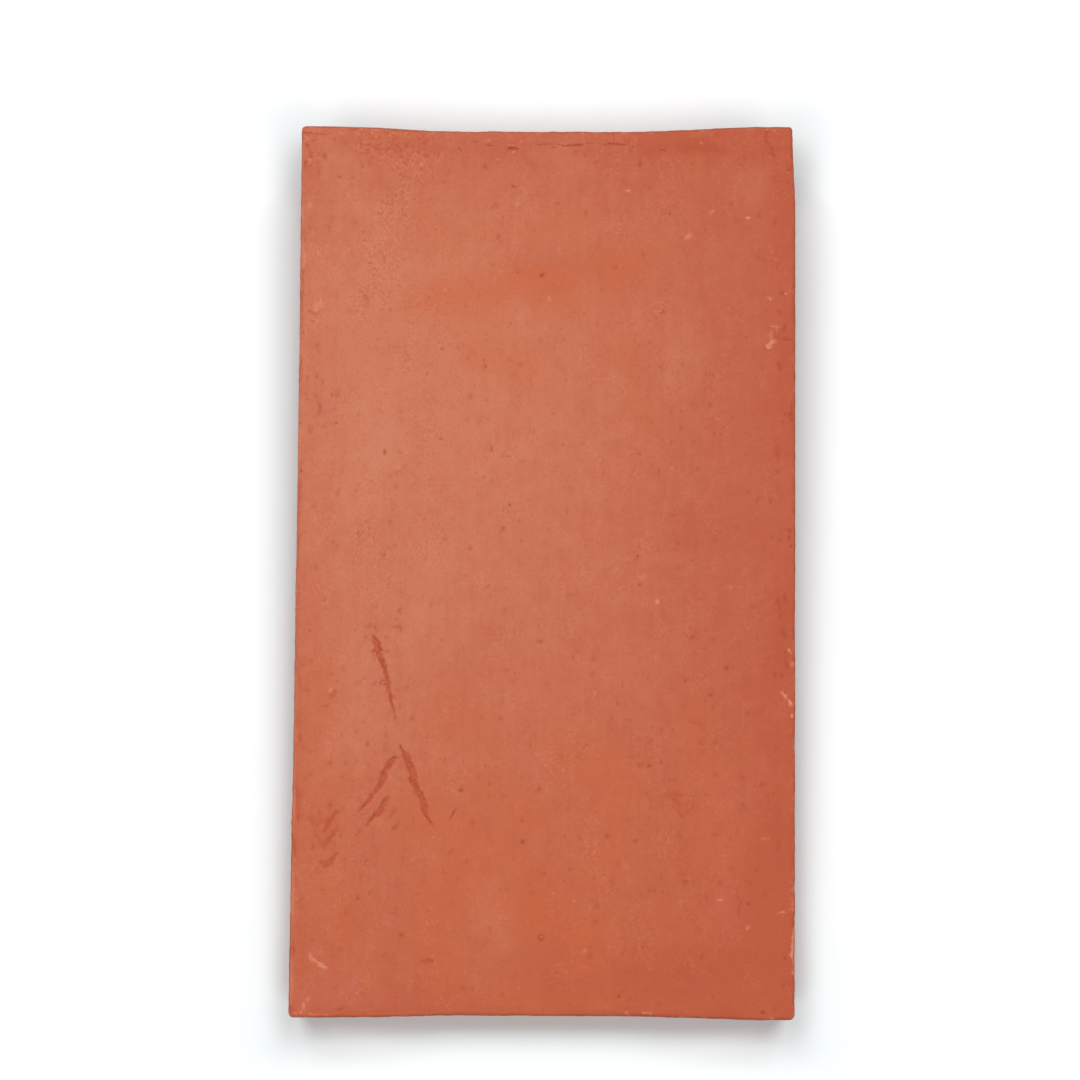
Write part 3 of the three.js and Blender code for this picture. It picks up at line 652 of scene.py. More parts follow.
@dataclass(frozen=True)
class TileForm:
    """The tile's form, as its solid has it, and how drying moved its outline."""

    length: float = 280.0
    width: float = 157.0
    thickness: float = 13.0
    arris: float = 1.6
    end_rounding: float = 0.88
    dish_depth: float = 4.0
    panel_width: float = 47.0
    rim_width: float = 9.5
    head_hollow: float = 0.48
    corner_draw: float = 0.9
    corner_length: float = 30.0
    side_rack: float = 0.0019
    tail_rack: float = 0.0035
    head_rack: float = 0.0024
    side_bow: float = 0.22
    side_pinch: float = 0.15
    tail_bow: float = 0.28
    head_gain: float = 0.04
    nib_width: float = 78.0
    nib_depth: float = 12.0
    nib_bearing: float = 20.0
    nib_root_length: float = 15.5
    nib_tip_length: float = 11.5
    nib_edge: float = 2.2
    nib_fillet: float = 2.0

    @property
    def bearing(self) -> float:
        """Where the nib's batten side stands along the tile."""
        return self.length / 2 - self.nib_bearing

    @property
    def tilt(self) -> float:
        """The slope, in radians, at which the tail and the nib's tip both touch the floor."""
        tail = -self.length / 2 + self.end_rounding * self.arris
        return math.atan2(self.nib_depth, self.bearing + self.nib_edge - tail)

    def dish_rise(self, x: np.ndarray) -> np.ndarray:
        """How far the dish has risen across the tile: 0 over its flat middle, 1 at the rims."""
        return smooth(np.abs(x), self.panel_width / 2, self.width / 2 - self.rim_width)

    def rounded_slab(self, box: np.ndarray, arris: np.ndarray) -> tuple[np.ndarray, np.ndarray]:
        """Rounds the edges and corners of the slab.

        Args:
            box: Points on a sharp-edged slab, as rows.
            arris: The edge radius at each point.

        Returns:
            The points on the rounded slab, and the directions out of it.
        """
        radius = arris[:, None] * (1.0, self.end_rounding, 1.0)
        high = np.array([self.width / 2, self.length / 2, self.thickness])
        low = np.array([-self.width / 2, -self.length / 2, 0.0])
        inner = np.clip(box, low + radius, high - radius)
        out = (box - inner) / radius
        out /= np.linalg.norm(out, axis=1)[:, None]
        return inner + out * radius, out

    def rounded_nib(self, box: np.ndarray) -> tuple[np.ndarray, np.ndarray]:
        """Rounds the nib and slopes its side towards the head.

        Args:
            box: Points on a sharp-edged nib, as rows.

        Returns:
            The points on the rounded nib, and the directions out of it.
        """
        edge = self.nib_edge
        low = np.array([-self.nib_width / 2, self.bearing, -self.nib_depth])
        high = np.array([self.nib_width / 2, self.bearing + self.nib_root_length, self.thickness])
        inner = np.clip(box, low + edge, high - edge)
        out = box - inner
        out /= np.linalg.norm(out, axis=1)[:, None]
        points = inner + out * edge
        down = -points[:, 2] / self.nib_depth
        across = (points[:, 1] - self.bearing) / self.nib_root_length
        points[:, 1] -= (self.nib_root_length - self.nib_tip_length) * down * across
        # The walls give up their first stretch to the fillet at the root.
        points[:, 2] = -self.nib_fillet + points[:, 2] * (1.0 - self.nib_fillet / self.nib_depth)
        return points, out

    def root_fillet(self, points: np.ndarray) -> np.ndarray:
        """How far the back is drawn down beside the nib.

        Args:
            points: Points on the back, as rows.

        Returns:
            The drop at each point, 0 away from the nib.
        """
        middle = self.bearing + self.nib_root_length / 2
        side = np.abs(points[:, 0]) - self.nib_width / 2
        end = np.abs(points[:, 1] - middle) - self.nib_root_length / 2
        gap = np.hypot(np.maximum(side, 0.0), np.maximum(end, 0.0))
        near = np.clip(1.0 - gap / self.nib_fillet, 0.0, 1.0)
        return self.nib_fillet * (1.0 - np.sqrt(1.0 - near**2))

    def dried(self, points: np.ndarray) -> np.ndarray:
        """Gives level points the dish, and the shifts that drying left in the outline.

        Args:
            points: Points on the flat tile, as rows.

        Returns:
            The points on the dished tile.
        """
        x, y, z = points.T
        head, side = self.length / 2, self.width / 2
        rise = self.dish_rise(x)
        to_head, to_tail = smooth(y, 0.0, head), smooth(-y, 0.0, head)
        corner = smooth(y, head - self.corner_length, head) * np.clip(x / side, 0.0, 1.0) ** 3
        hollow = to_head * (1.0 - rise)
        rack = self.tail_rack + (self.head_rack - self.tail_rack) * to_head
        bow = (self.side_bow - self.side_pinch * x / side) * (1.0 - (y / head) ** 2)
        across = self.side_rack * y + bow - self.corner_draw * corner
        along = rack * x - self.head_hollow * hollow + self.head_gain * to_head
        up = self.dish_depth * rise * np.clip(1.0 + z / self.nib_depth, 0.0, 1.0)
        return points + np.column_stack((across, along - self.tail_bow * to_tail, up))

    def laid(self, points: np.ndarray) -> np.ndarray:
        """Lays level points on the floor, centred as the solid is.

        Args:
            points: Points in the tile's own level frame, as rows.

        Returns:
            The points in the row frame, still in millimetres.
        """
        cos, sin = math.cos(self.tilt), math.sin(self.tilt)
        half = self.length / 2
        end = self.end_rounding * self.arris
        tail_top = -half * cos - (self.thickness + self.dish_depth - end) * sin
        head_foot = half * cos - (self.dish_depth + end) * sin
        x, y, z = points.T
        along = y * cos - z * sin - (tail_top + head_foot) / 2
        up = y * sin + z * cos + (half - end) * sin
        return np.column_stack((x, along, up))


@dataclass(frozen=True)
class Lumps:
    """Unevenness of the clay: its height, its lumps' size, and what makes it differ from others."""

    height: float
    size: Union[float, Triple]
    layers: int = 3
    shift: float = 0.0

    def on(self, noise: ClayNoise, places: np.ndarray) -> np.ndarray:
        """How high the clay stands at points."""
        return self.height * noise.at(places + self.shift, self.size, self.layers)


@dataclass(frozen=True)
class Skin:
    """The relief of the clay, from its broad swells to the marks pressed into it."""

    form: TileForm
    noise: ClayNoise
    marks: tuple[Stroke, ...] = (
        *ORANGE_PATCHES, *BARE_PATCHES, *FADED_PATCHES, *PINK_PATCHES, *DRAGS, *FURROWS, *SMEARS,
        *SHADES, *SCUFF_SHADES, *SCUFF_SMEARS, *CREASE_CRACKS, *CREASE_SMEARS, *FLAKES,
        *LIFTED_SKIN, *CURLED_SKIN, *EDGE_SMEARS, *EDGE_SHADES, *PAINTED_LIGHT_EDGES, *PITS, *DENTS,
        *SPECKS, *GRITS, *RING,
    )
    # Wear of the arrises, as a share of their radius, and the least and most that is left of it.
    wear: Lumps = Lumps(0.22, 14.0)
    nicks: Lumps = Lumps(0.16, 2.6, 2, 50.0)
    worn_range: Pair = (0.55, 1.5)
    # Broad unevenness of the face and the sides.
    swell: Lumps = Lumps(0.16, (34.0, 60.0, 34.0))
    streak: Lumps = Lumps(0.035, (3.2, 70.0, 30.0), 2)
    side_swell: Lumps = Lumps(0.07, (16.0, 16.0, 5.0))
    # The sandy grain, and how high it is on each surface.
    grain: Lumps = Lumps(1.0, 1.7, 2)
    face_grain: float = 0.03
    back_grain: float = 0.12
    side_grain: float = 0.1
    # How far the face rolls down at the head, and over what length.
    head_roll: float = 0.45
    head_roll_length: float = 9.0
    # How the edges of the marks and of broad patches wander, and how soft they are.
    wander: Lumps = Lumps(1.0, 0.9, 2, 90.0)
    drift: Lumps = Lumps(1.0, 11.0, 3, 30.0)
    soft_edge: Pair = (-0.5, 0.7)
    # How near a mark's edge a cell is divided, as a share of its size, and how large it has to
    # be for that, as a share of the edge's softness.
    cell_reach: float = 0.38
    cell_share: float = 0.6

    def arris(self, box: np.ndarray) -> np.ndarray:
        """The worn radius of the edges.

        Args:
            box: Points on the sharp-edged slab, as rows.

        Returns:
            The radius at each point.
        """
        wear = self.wear.on(self.noise, box) + self.nicks.on(self.noise, box)
        return self.form.arris * np.clip(1.0 + wear, *self.worn_range)

    def relief(self, box: np.ndarray, out: np.ndarray) -> np.ndarray:
        """How far the clay stands out of the plain form, without the marks.

        Args:
            box: Points on the sharp-edged tile, as rows.
            out: The directions out of it.

        Returns:
            The height at each point.
        """
        noise, head = self.noise, self.form.length / 2
        face, back = np.clip(out[:, 2], 0.0, 1.0), np.clip(-out[:, 2], 0.0, 1.0)
        side = 1.0 - np.abs(out[:, 2])
        grain = face * self.face_grain + back * self.back_grain + side * self.side_grain
        roll = smooth(box[:, 1], head - self.head_roll_length, head) ** 2
        height = face * (self.swell.on(noise, box) + self.streak.on(noise, box))
        height += self.grain.on(noise, box) * grain + side * self.side_swell.on(noise, box)
        return height - face * self.head_roll * roll

    def press(self, places: np.ndarray) -> tuple[np.ndarray, dict[Tone, np.ndarray]]:
        """What the marks do to the face.

        Args:
            places: Points on the dried tile's face, as rows.

        Returns:
            For each point, the height that the marks add and how much it has of each tone.
        """
        x, y, _ = places.T
        height = np.zeros(len(places))
        tones = {tone: np.zeros(len(places)) for tone in Tone}
        wander = self.wander.on(self.noise, places)
        drift = self.drift.on(self.noise, places)
        for mark in self.marks:
            kind, near = mark.kind, mark.near(x, y)
            unevenness = wander if kind.depth else drift
            gap = mark.outside(x[near], y[near]) + kind.ragged * unevenness[near]
            inside = 1.0 - smooth(gap, *(share * kind.feather for share in self.soft_edge))
            height[near] -= kind.depth * inside
            tone = tones[kind.tone]
            tone[near] = np.maximum(tone[near], inside * mark.strength)
        return height, tones

    def crowded(self, x: np.ndarray, y: np.ndarray, cell: float) -> np.ndarray:
        """Where a grid is too coarse for the edges of the marks.

        Args:
            x: Places across the tile.
            y: Places along the tile.
            cell: The size of the grid's cells.

        Returns:
            True for each place that needs smaller cells.
        """
        found = np.zeros(len(x), dtype=bool)
        for mark in self.marks:
            if mark.kind.depth and cell > self.cell_share * mark.kind.feather:
                gap = mark.outside(x, y)
                found |= (gap < self.cell_reach * cell) & (gap > -mark.kind.feather - cell)
        return found


@dataclass(frozen=True)
class ClayMesh:
    """Builds the tile's surface as one closed mesh, finer where the marks are.

    Attributes:
        form: The tile's form.
        skin: Its relief.
        pitch: The grid's spacing on the back, twice that of the face.
        edge_lines: Distances of the grid's lines from each edge.
        nib_line: Distance of a grid line beside the nib's root.
        mark_cuts: How many times the grid is halved round the finest marks.
    """

    form: TileForm
    skin: Skin
    pitch: float = 3.0
    edge_lines: tuple[float, ...] = (0.0, 0.8, 1.6, 2.6)
    nib_line: float = 1.2
    mark_cuts: int = 3
    # How far up or out a surface looks where it is the back, the face, the head's arris, or worn.
    back_slope: float = -0.5
    face_slope: float = 0.1
    # The head's arris, where it rolls down and away, gets painted shade.
    head_arris_shade_up: Pair = (0.9, 0.6)
    head_arris_shade_out: Pair = (0.25, 0.6)
    worn_edge: float = 0.3

    def _lines(self, stops: Sequence[float]) -> list[float]:
        """Grid lines through every stop, evenly spaced between them.

        Args:
            stops: Places that need a line, in order.

        Returns:
            All the lines, in order.
        """
        lines = [stops[0]]
        for start, end in zip(stops, stops[1:]):
            count = max(1, round((end - start) / self.pitch))
            lines += [start + (end - start) * (i + 1) / count for i in range(count)]
        return lines

    def _stops(self) -> tuple[list[float], list[float], list[float]]:
        """The places that need a grid line: the edges and the nib's outline.

        Returns:
            The places along x, along y and along z.
        """
        form, near = self.form, self.edge_lines
        far = near[::-1]
        half, head, nib_half = form.width / 2, form.length / 2, form.nib_width / 2
        root = form.bearing + form.nib_root_length
        right = {side - d for side in (half, nib_half) for d in near} | {nib_half + self.nib_line}
        across = sorted({side * x for x in right for side in (-1, 1)})
        nib = [form.bearing + d for d in near] + [root - d for d in far]
        along = [d - head for d in near] + [form.bearing - self.nib_line] + nib
        through = [*near, *(form.thickness - d for d in far)]
        return across, along + [head - d for d in far], through

    def _box(self, shell: BMesh) -> None:
        """Adds the surface of the sharp-edged slab, as a grid.

        Args:
            shell: The mesh.
        """
        lines = [self._lines(stops) for stops in self._stops()]
        last = [len(line) - 1 for line in lines]
        made = {}
        for axis in range(3):
            u, v = (axis + 1) % 3, (axis + 2) % 3
            for level, order in ((0, -1), (last[axis], 1)):
                for i, j in itertools.product(range(last[u]), range(last[v])):
                    ring = []
                    for di, dj in ((0, 0), (1, 0), (1, 1), (0, 1)):
                        at = [level] * 3
                        at[u], at[v] = i + di, j + dj
                        place = tuple(line[k] for line, k in zip(lines, at))
                        if place not in made:
                            made[place] = shell.verts.new(place)
                        ring.append(made[place])
                    shell.faces.new(ring[::order])

    def _push_out_nib(self, shell: BMesh) -> None:
        """Pushes the nib out of the back of the sharp-edged slab.

        Args:
            shell: The slab's mesh.
        """
        form = self.form
        root = form.bearing + form.nib_root_length
        cap = []
        for face in shell.faces:
            x, y, z = face.calc_center_median()
            if z == 0.0 and abs(x) < form.nib_width / 2 and form.bearing < y < root:
                cap.append(face)
        ends = [form.nib_depth - d for d in reversed(self.edge_lines)]
        depths = self._lines([0.0, *ends])
        for above, below in zip(depths, depths[1:]):
            pushed = bmesh.ops.extrude_face_region(shell, geom=cap)["geom"]
            bmesh.ops.delete(shell, geom=cap, context="FACES")
            cap = [item for item in pushed if isinstance(item, BMFace)]
            verts = [item for item in pushed if isinstance(item, BMVert)]
            bmesh.ops.translate(shell, verts=verts, vec=(0.0, 0.0, above - below))

    def _halve(self, shell: BMesh, edges: list[BMEdge]) -> None:
        """Halves edges and divides the faces between them."""
        options = {"cuts": 1, "use_grid_fill": True, "use_single_edge": True}
        bmesh.ops.subdivide_edges(shell, edges=edges, **options)

    def _refine(self, shell: BMesh) -> None:
        """Halves the grid on the face, the sides and the nib, and more often round the marks.

        Args:
            shell: The sharp-edged tile's mesh.
        """
        form, rim = self.form, self.edge_lines[-1]
        fine = []
        for edge in shell.edges:
            x, y, z = (edge.verts[0].co + edge.verts[1].co) / 2
            by_edge = form.width / 2 - abs(x) < rim or form.length / 2 - abs(y) < rim
            by_nib = abs(x) < form.nib_width / 2 + rim and y > form.bearing - rim
            if abs(z) > TOUCH or by_edge or by_nib:
                fine.append(edge)
        self._halve(shell, fine)
        for cut in range(self.mark_cuts):
            middles = {face: face.calc_center_median() for face in shell.faces}
            top = [face for face, middle in middles.items() if middle.z > form.thickness - TOUCH]
            x, y, _ = form.dried(np.array([middles[face] for face in top])).T
            crowded = self.skin.crowded(x, y, 0.5 * self.pitch * 0.5**cut)
            chosen = [face for face, small in zip(top, crowded) if small]
            self._halve(shell, list(dict.fromkeys(e for face in chosen for e in face.edges)))

    def _shape(self, box: np.ndarray) -> tuple[np.ndarray, dict[str, np.ndarray]]:
        """Turns the sharp-edged tile into the worn, dished one, lying on the floor.

        Args:
            box: Points of the sharp-edged tile, as rows.

        Returns:
            The finished points in millimetres, and a value of each surface mask for each point.
        """
        form, skin = self.form, self.skin
        on_nib = box[:, 2] < -TOUCH
        points, out = form.rounded_slab(box, skin.arris(box))
        points[on_nib], out[on_nib] = form.rounded_nib(box[on_nib])
        back = ~on_nib & (out[:, 2] < self.back_slope)
        points[back, 2] -= form.root_fillet(points[back])
        height = skin.relief(box, out)
        face = out[:, 2] > self.face_slope
        pressed, tones = skin.press(form.dried(points[face]))
        height[face] += pressed
        points = form.laid(form.dried(points + out * height[:, None]))
        # Painted shade on the head's arris, where the face rolls over it.
        head_arris_shade = smooth(out[:, 2], *self.head_arris_shade_up) * smooth(out[:, 1], *self.head_arris_shade_out)
        worn = np.clip((1.0 - np.abs(out).max(axis=1)) / self.worn_edge, 0.0, 1.0)
        masks = {"worn": worn, "head_arris_shade": head_arris_shade * (out[:, 2] > 0.0)}
        for tone, values in tones.items():
            masks[tone.value] = np.zeros(len(box))
            masks[tone.value][face] = values
        return points, masks

    def build(self, name: str) -> bpy.types.Object:
        """Makes the tile's mesh object in the scene.

        Args:
            name: The object's name.

        Returns:
            The new object, at the origin, with its place in its mesh.
        """
        shell = bmesh.new()
        self._box(shell)
        self._push_out_nib(shell)
        self._refine(shell)
        mesh = bpy.data.meshes.new(name)
        shell.to_mesh(mesh)
        shell.free()
        flat = np.empty(len(mesh.vertices) * 3)
        mesh.vertices.foreach_get("co", flat)
        points, masks = self._shape(flat.reshape(-1, 3))
        mesh.vertices.foreach_set("co", (points * MM).ravel())
        for mask, values in masks.items():
            layer = mesh.attributes.new(mask, "FLOAT", "POINT")
            layer.data.foreach_set("value", values.astype(np.float32))
        mesh.polygons.foreach_set("use_smooth", np.ones(len(mesh.polygons), dtype=bool))
        mesh.update()
        return show(name, mesh)


class Signal:
    """A number that a shader socket carries. Arithmetic on it adds Math nodes."""

    def __init__(self, book: "NodeBook", socket: Socket) -> None:
        """Wraps an output socket of a node in the book."""
        self.book = book
        self.socket = socket

    def _math(self, operation: str, first: "Value", second: "Value") -> "Signal":
        """Adds one Math node."""
        node = self.book.node("ShaderNodeMath", {"operation": operation}, {0: first, 1: second})
        return Signal(self.book, node.outputs[0])

    def __add__(self, other: "Value") -> "Signal":
        """self + other."""
        return self._math("ADD", self, other)

    __radd__ = __add__

    def __sub__(self, other: "Value") -> "Signal":
        """self - other."""
        return self._math("SUBTRACT", self, other)

    def __rsub__(self, other: "Value") -> "Signal":
        """other - self."""
        return self._math("SUBTRACT", other, self)

    def __mul__(self, other: "Value") -> "Signal":
        """self * other."""
        return self._math("MULTIPLY", self, other)

    __rmul__ = __mul__

    def between(self, low: float, high: float) -> "Signal":
        """Rises smoothly from 0 where self is low to 1 where it is high.

        Args:
            low: Where it starts to rise.
            high: Where it has risen, which may be the lower number of the two.

        Returns:
            The risen signal.
        """
        settings = {"interpolation_type": "SMOOTHSTEP"}
        sockets = {"Value": self, "From Min": low, "From Max": high}
        return Signal(self.book, self.book.node("ShaderNodeMapRange", settings, sockets).outputs[0])


Value = Union[float, Signal]


@dataclass(frozen=True)
class Grain:
    """A noise in the look of the clay: its lumps' size, and what makes it differ from others."""

    size: Triple
    seed: float = 0.0
    detail: float = 3.0
    roughness: float = 0.55


@dataclass(frozen=True)
class Spots:
    """Soft spots: their cells' size, the largest radius, and the share of the cells with one."""

    cell: float
    radius: float
    share: float
    softness: float = 0.85


class NodeBook:
    """Adds the nodes of one material."""

    def __init__(self, tree: bpy.types.NodeTree) -> None:
        """Starts with an empty tree."""
        tree.nodes.clear()
        self.tree = tree

    def node(self, kind: str, settings: dict, sockets: dict) -> bpy.types.Node:
        """Adds a node.

        Args:
            kind: The node's type.
            settings: Its own settings, which are set first.
            sockets: A value or a link for each input, by name or number.

        Returns:
            The node.
        """
        node = self.tree.nodes.new(kind)
        for key, value in settings.items():
            setattr(node, key, value)
        for key, value in sockets.items():
            source = value.socket if isinstance(value, Signal) else value
            if isinstance(source, Socket):
                self.tree.links.new(source, node.inputs[key])
            else:
                node.inputs[key].default_value = source
        return node

    def vector(self, operation: str, sockets: dict) -> Socket:
        """The outcome of one Vector Math node."""
        return self.node("ShaderNodeVectorMath", {"operation": operation}, sockets).outputs[0]

    def place(self) -> Socket:
        """Where a point of the object is, in millimetres."""
        origin = self.node("ShaderNodeTexCoord", {}, {}).outputs["Object"]
        return self.vector("SCALE", {0: origin, "Scale": 1.0 / MM})

    def across_and_along(self, place: Socket) -> list[Signal]:
        """The x and the y of a place."""
        split = self.node("ShaderNodeSeparateXYZ", {}, {0: place})
        return [Signal(self, split.outputs[i]) for i in (0, 1)]

    def mask(self, name: str) -> Signal:
        """A mask that the mesh carries."""
        node = self.node("ShaderNodeAttribute", {"attribute_name": name}, {})
        return Signal(self, node.outputs["Fac"])

    def mix(self, share: Value, first: object, second: object) -> Socket:
        """Blends two colours.

        Args:
            share: How much of the second colour shows.
            first: A colour, or a socket that carries one.
            second: The other.

        Returns:
            The blended colour's socket.
        """
        sockets = {0: share, 6: first, 7: second}
        for key, colour in sockets.items():
            sockets[key] = (*colour, 1.0) if isinstance(colour, tuple) else colour
        return self.node("ShaderNodeMix", {"data_type": "RGBA"}, sockets).outputs[2]

    def layered(self, ground: object, *layers: tuple[Value, Triple]) -> Socket:
        """Lays colours over each other.

        Args:
            ground: The lowest colour, or a socket that carries it.
            layers: How much of each next colour shows, and that colour.

        Returns:
            The socket of what is seen of them.
        """
        for share, colour in layers:
            ground = self.mix(share, ground, colour)
        return ground

    def noise(self, place: Socket, grain: Grain) -> Signal:
        """Smooth noise, 0 on average and seldom beyond 0.25 either way.

        Args:
            place: Where, in millimetres.
            grain: What it is like.

        Returns:
            The noise.
        """
        shrink = [1.0 / size for size in grain.size]
        scaled = self.vector("MULTIPLY_ADD", {0: place, 1: shrink, 2: [grain.seed] * 3})
        fineness = {"Detail": grain.detail, "Roughness": grain.roughness}
        sockets = {"Vector": scaled, "Scale": 1.0, **fineness}
        return Signal(self, self.node("ShaderNodeTexNoise", {}, sockets).outputs[0]) - 0.5

    def threads(self, place: Socket, grain: Grain, width: float) -> Signal:
        """Thin winding lines, where a noise is nearly 0.

        Args:
            place: Where, in millimetres.
            grain: The noise.
            width: How wide they are, in the noise's own measure.

        Returns:
            The lines' mask.
        """
        ground = self.noise(place, grain)
        return ground.between(-width, 0.0) * ground.between(width, 0.0)

    def warped(self, place: Socket, size: float, reach: float) -> Socket:
        """Places moved about a little, so that what is drawn on them is irregular.

        Args:
            place: Where, in millimetres.
            size: The size of the swirls.
            reach: How far they move a place.

        Returns:
            The moved places' socket.
        """
        sockets = {"Vector": place, "Scale": 1.0 / size, "Detail": 1.0}
        swirl = self.node("ShaderNodeTexNoise", {}, sockets).outputs[1]
        return self.vector("MULTIPLY_ADD", {0: swirl, 1: [reach] * 3, 2: place})

    def specks(self, place: Socket, spots: Spots) -> Signal:
        """Small soft spots, scattered unevenly.

        Args:
            place: Where, in millimetres.
            spots: What they are like.

        Returns:
            The spots' mask.
        """
        sockets = {"Vector": place, "Scale": 1.0 / spots.cell}
        found = self.node("ShaderNodeTexVoronoi", {}, sockets).outputs
        chance = self.node("ShaderNodeSeparateColor", {}, {0: found["Color"]}).outputs[0]
        size = Signal(self, chance).between(1.0 - spots.share, 1.0)
        radius = spots.radius / spots.cell
        nearness = size * radius - Signal(self, found["Distance"])
        return nearness.between(0.0, spots.softness * radius)

    def surface(self, finish: dict) -> None:
        """Ends the material with one shader, given a value or a link for each of its inputs."""
        shader = self.node("ShaderNodeBsdfPrincipled", {}, finish)
        self.node("ShaderNodeOutputMaterial", {}, {"Surface": shader.outputs[0]})


def blank_material(name: str) -> tuple[bpy.types.Material, NodeBook]:
    """Starts a material.

    Args:
        name: The material's name.

    Returns:
        The material, and the book for its nodes.
    """
    material = bpy.data.materials.new(name)
    material.use_nodes = True
    return material, NodeBook(material.node_tree)


@dataclass(frozen=True)
class FiredClay:
    """The finish of dry fired clay.

    Attributes:
        body: The clay without its bloom.
        bloom_and_sheen: The clay under the pale film that firing left, and under the painted sheen.
        orange: The clay where it was fired a little less.
        pink: The clay where it was fired a little more.
        warm: What small patches turn to on one side.
        rosy: What they turn to on the other.
        scraped_and_shade: Dragged clay, the insides of holes, and painted shade by the head and
            arrises.
        painted_hollow_shade: Painted shade inside cracks, furrows and holes.
        faded: The palest bloom.
        painted_head_shade: Painted shade on the rounded arris of the head.
        grit_and_painted_light: Bare grit and chipped edges, and painted light along the left-hand
            arris.
        roughness: The usual roughness of the surface.
        specular: How much it reflects, 0.5 being usual.
    """

    body: Triple = paint(190, 89, 61)
    bloom_and_sheen: Triple = paint(209, 124, 93)
    orange: Triple = paint(205, 103, 63)
    pink: Triple = paint(206, 110, 90)
    warm: Triple = paint(211, 111, 75)
    rosy: Triple = paint(206, 113, 93)
    scraped_and_shade: Triple = paint(187, 86, 57)
    painted_hollow_shade: Triple = paint(170, 76, 48)
    grit_and_painted_light: Triple = paint(228, 142, 112)
    faded: Triple = paint(216, 138, 108)
    painted_head_shade: Triple = paint(140, 88, 70)
    roughness: float = 0.85
    specular: float = 0.25
    # Painted sheen: where it starts to fade, where it has faded, and how much of it is lost.
    sheen_fades_across: tuple[Triple, ...] = ((-45.0, 110.0, 0.9), (-57.0, -83.0, 0.2))
    sheen_fades_along: tuple[Triple, ...] = ((60.0, -210.0, 0.8), (88.0, 150.0, 0.65))
    # Parts of the tile, by where they begin and where they are in full.
    calm_side: Pair = (10.0, 78.0)
    lively_side: Pair = (-40.0, -65.0)
    orange_end: Pair = (-10.0, -110.0)
    sandy_across: tuple[Pair, Pair] = ((-66.0, -56.0), (-26.0, -46.0))
    sandy_along: Pair = (-20.0, 25.0)
    # Unevenness of the bloom, and of the hue.
    patches: Grain = Grain((30.0, 34.0, 30.0))
    mottle: Grain = Grain((5.0, 6.5, 5.0), 3.0, detail=4.0)
    streaks: Grain = Grain((1.8, 26.0, 6.0), 5.0)
    sand: Grain = Grain((0.9, 1.0, 0.9), 7.0)
    hue: Grain = Grain((22.0, 28.0, 22.0), 11.0)
    tint: Grain = Grain((3.6, 4.4, 3.6), 37.0)
    hue_range: float = 0.35
    # Where there is more fine detail, and that detail.
    busy: Grain = Grain((10.0, 13.0, 10.0), 13.0)
    busy_range: Pair = (-0.1, 0.15)
    grains: Grain = Grain((0.5, 0.9, 0.5), 17.0, detail=1.0)
    grain_range: Pair = (0.15, 0.25)
    pale_grains: Grain = Grain((0.65, 0.65, 0.65), 19.0, detail=1.0)
    pale_grain_range: Pair = (0.15, 0.26)
    pale_threads: Grain = Grain((3.4, 4.2, 3.4), 23.0)
    pale_thread_width: float = 0.016
    dark_threads: Grain = Grain((4.2, 5.5, 4.2), 29.0)
    dark_thread_width: float = 0.014
    holes: Spots = Spots(3.4, 0.75, 0.5)
    long_holes: Spots = Spots(2.6, 0.6, 0.6)
    blots: Spots = Spots(11.0, 1.6, 0.6)
    # How the long holes are scaled, and the size and reach of the swirls that bend the detail.
    draw: Triple = (1.0, 0.55, 1.0)
    swirl: Pair = (2.2, 2.4)
    # Where worn edges are chipped and scuffed.
    chipped: Pair = (0.05, 0.3)
    scuffed: Pair = (0.05, -0.2)
    # What the light catches: its sand, its lumps and their height.
    skin_sand: Grain = Grain((0.7, 0.8, 0.7))
    skin_lumps: Grain = Grain((2.4, 5.0, 2.4), 31.0)
    skin_height: float = 0.12
    skin_strength: float = 0.7

    def _bloom_and_sheen(self, across: Signal, along: Signal) -> Signal:
        """How much painted sheen shows, highest up and to the left, without the clay's own
        unevenness.

        Args:
            across: The place across the tile, in millimetres.
            along: The place along it.

        Returns:
            The share of the bloom.
        """
        share = 1.0
        for place, fades in ((across, self.sheen_fades_across), (along, self.sheen_fades_along)):
            for start, end, loss in fades:
                share = share * (1.0 - place.between(start, end) * loss)
        return share

    def _colour(self, book: NodeBook, place: Socket) -> Socket:
        """The clay's colour over the surface.

        Args:
            book: The material's nodes.
            place: Where, in millimetres.

        Returns:
            The colour's socket.
        """
        across, along = book.across_and_along(place)
        mottle, sand = book.noise(place, self.mottle), book.noise(place, self.sand)
        busy = book.noise(place, self.busy).between(*self.busy_range)
        calm, lively_side = across.between(*self.calm_side), across.between(*self.lively_side)
        lively = 1.0 - calm * 0.35 + lively_side * 0.2
        left, right = (across.between(*side) for side in self.sandy_across)
        sandy = left * right * along.between(*self.sandy_along) * busy
        streaks = book.noise(place, self.streaks)
        fine = mottle * 0.65 + streaks * 0.3 + sand * (busy * 0.45 + sandy * 2.2 + 0.36)
        patches = book.noise(place, self.patches)
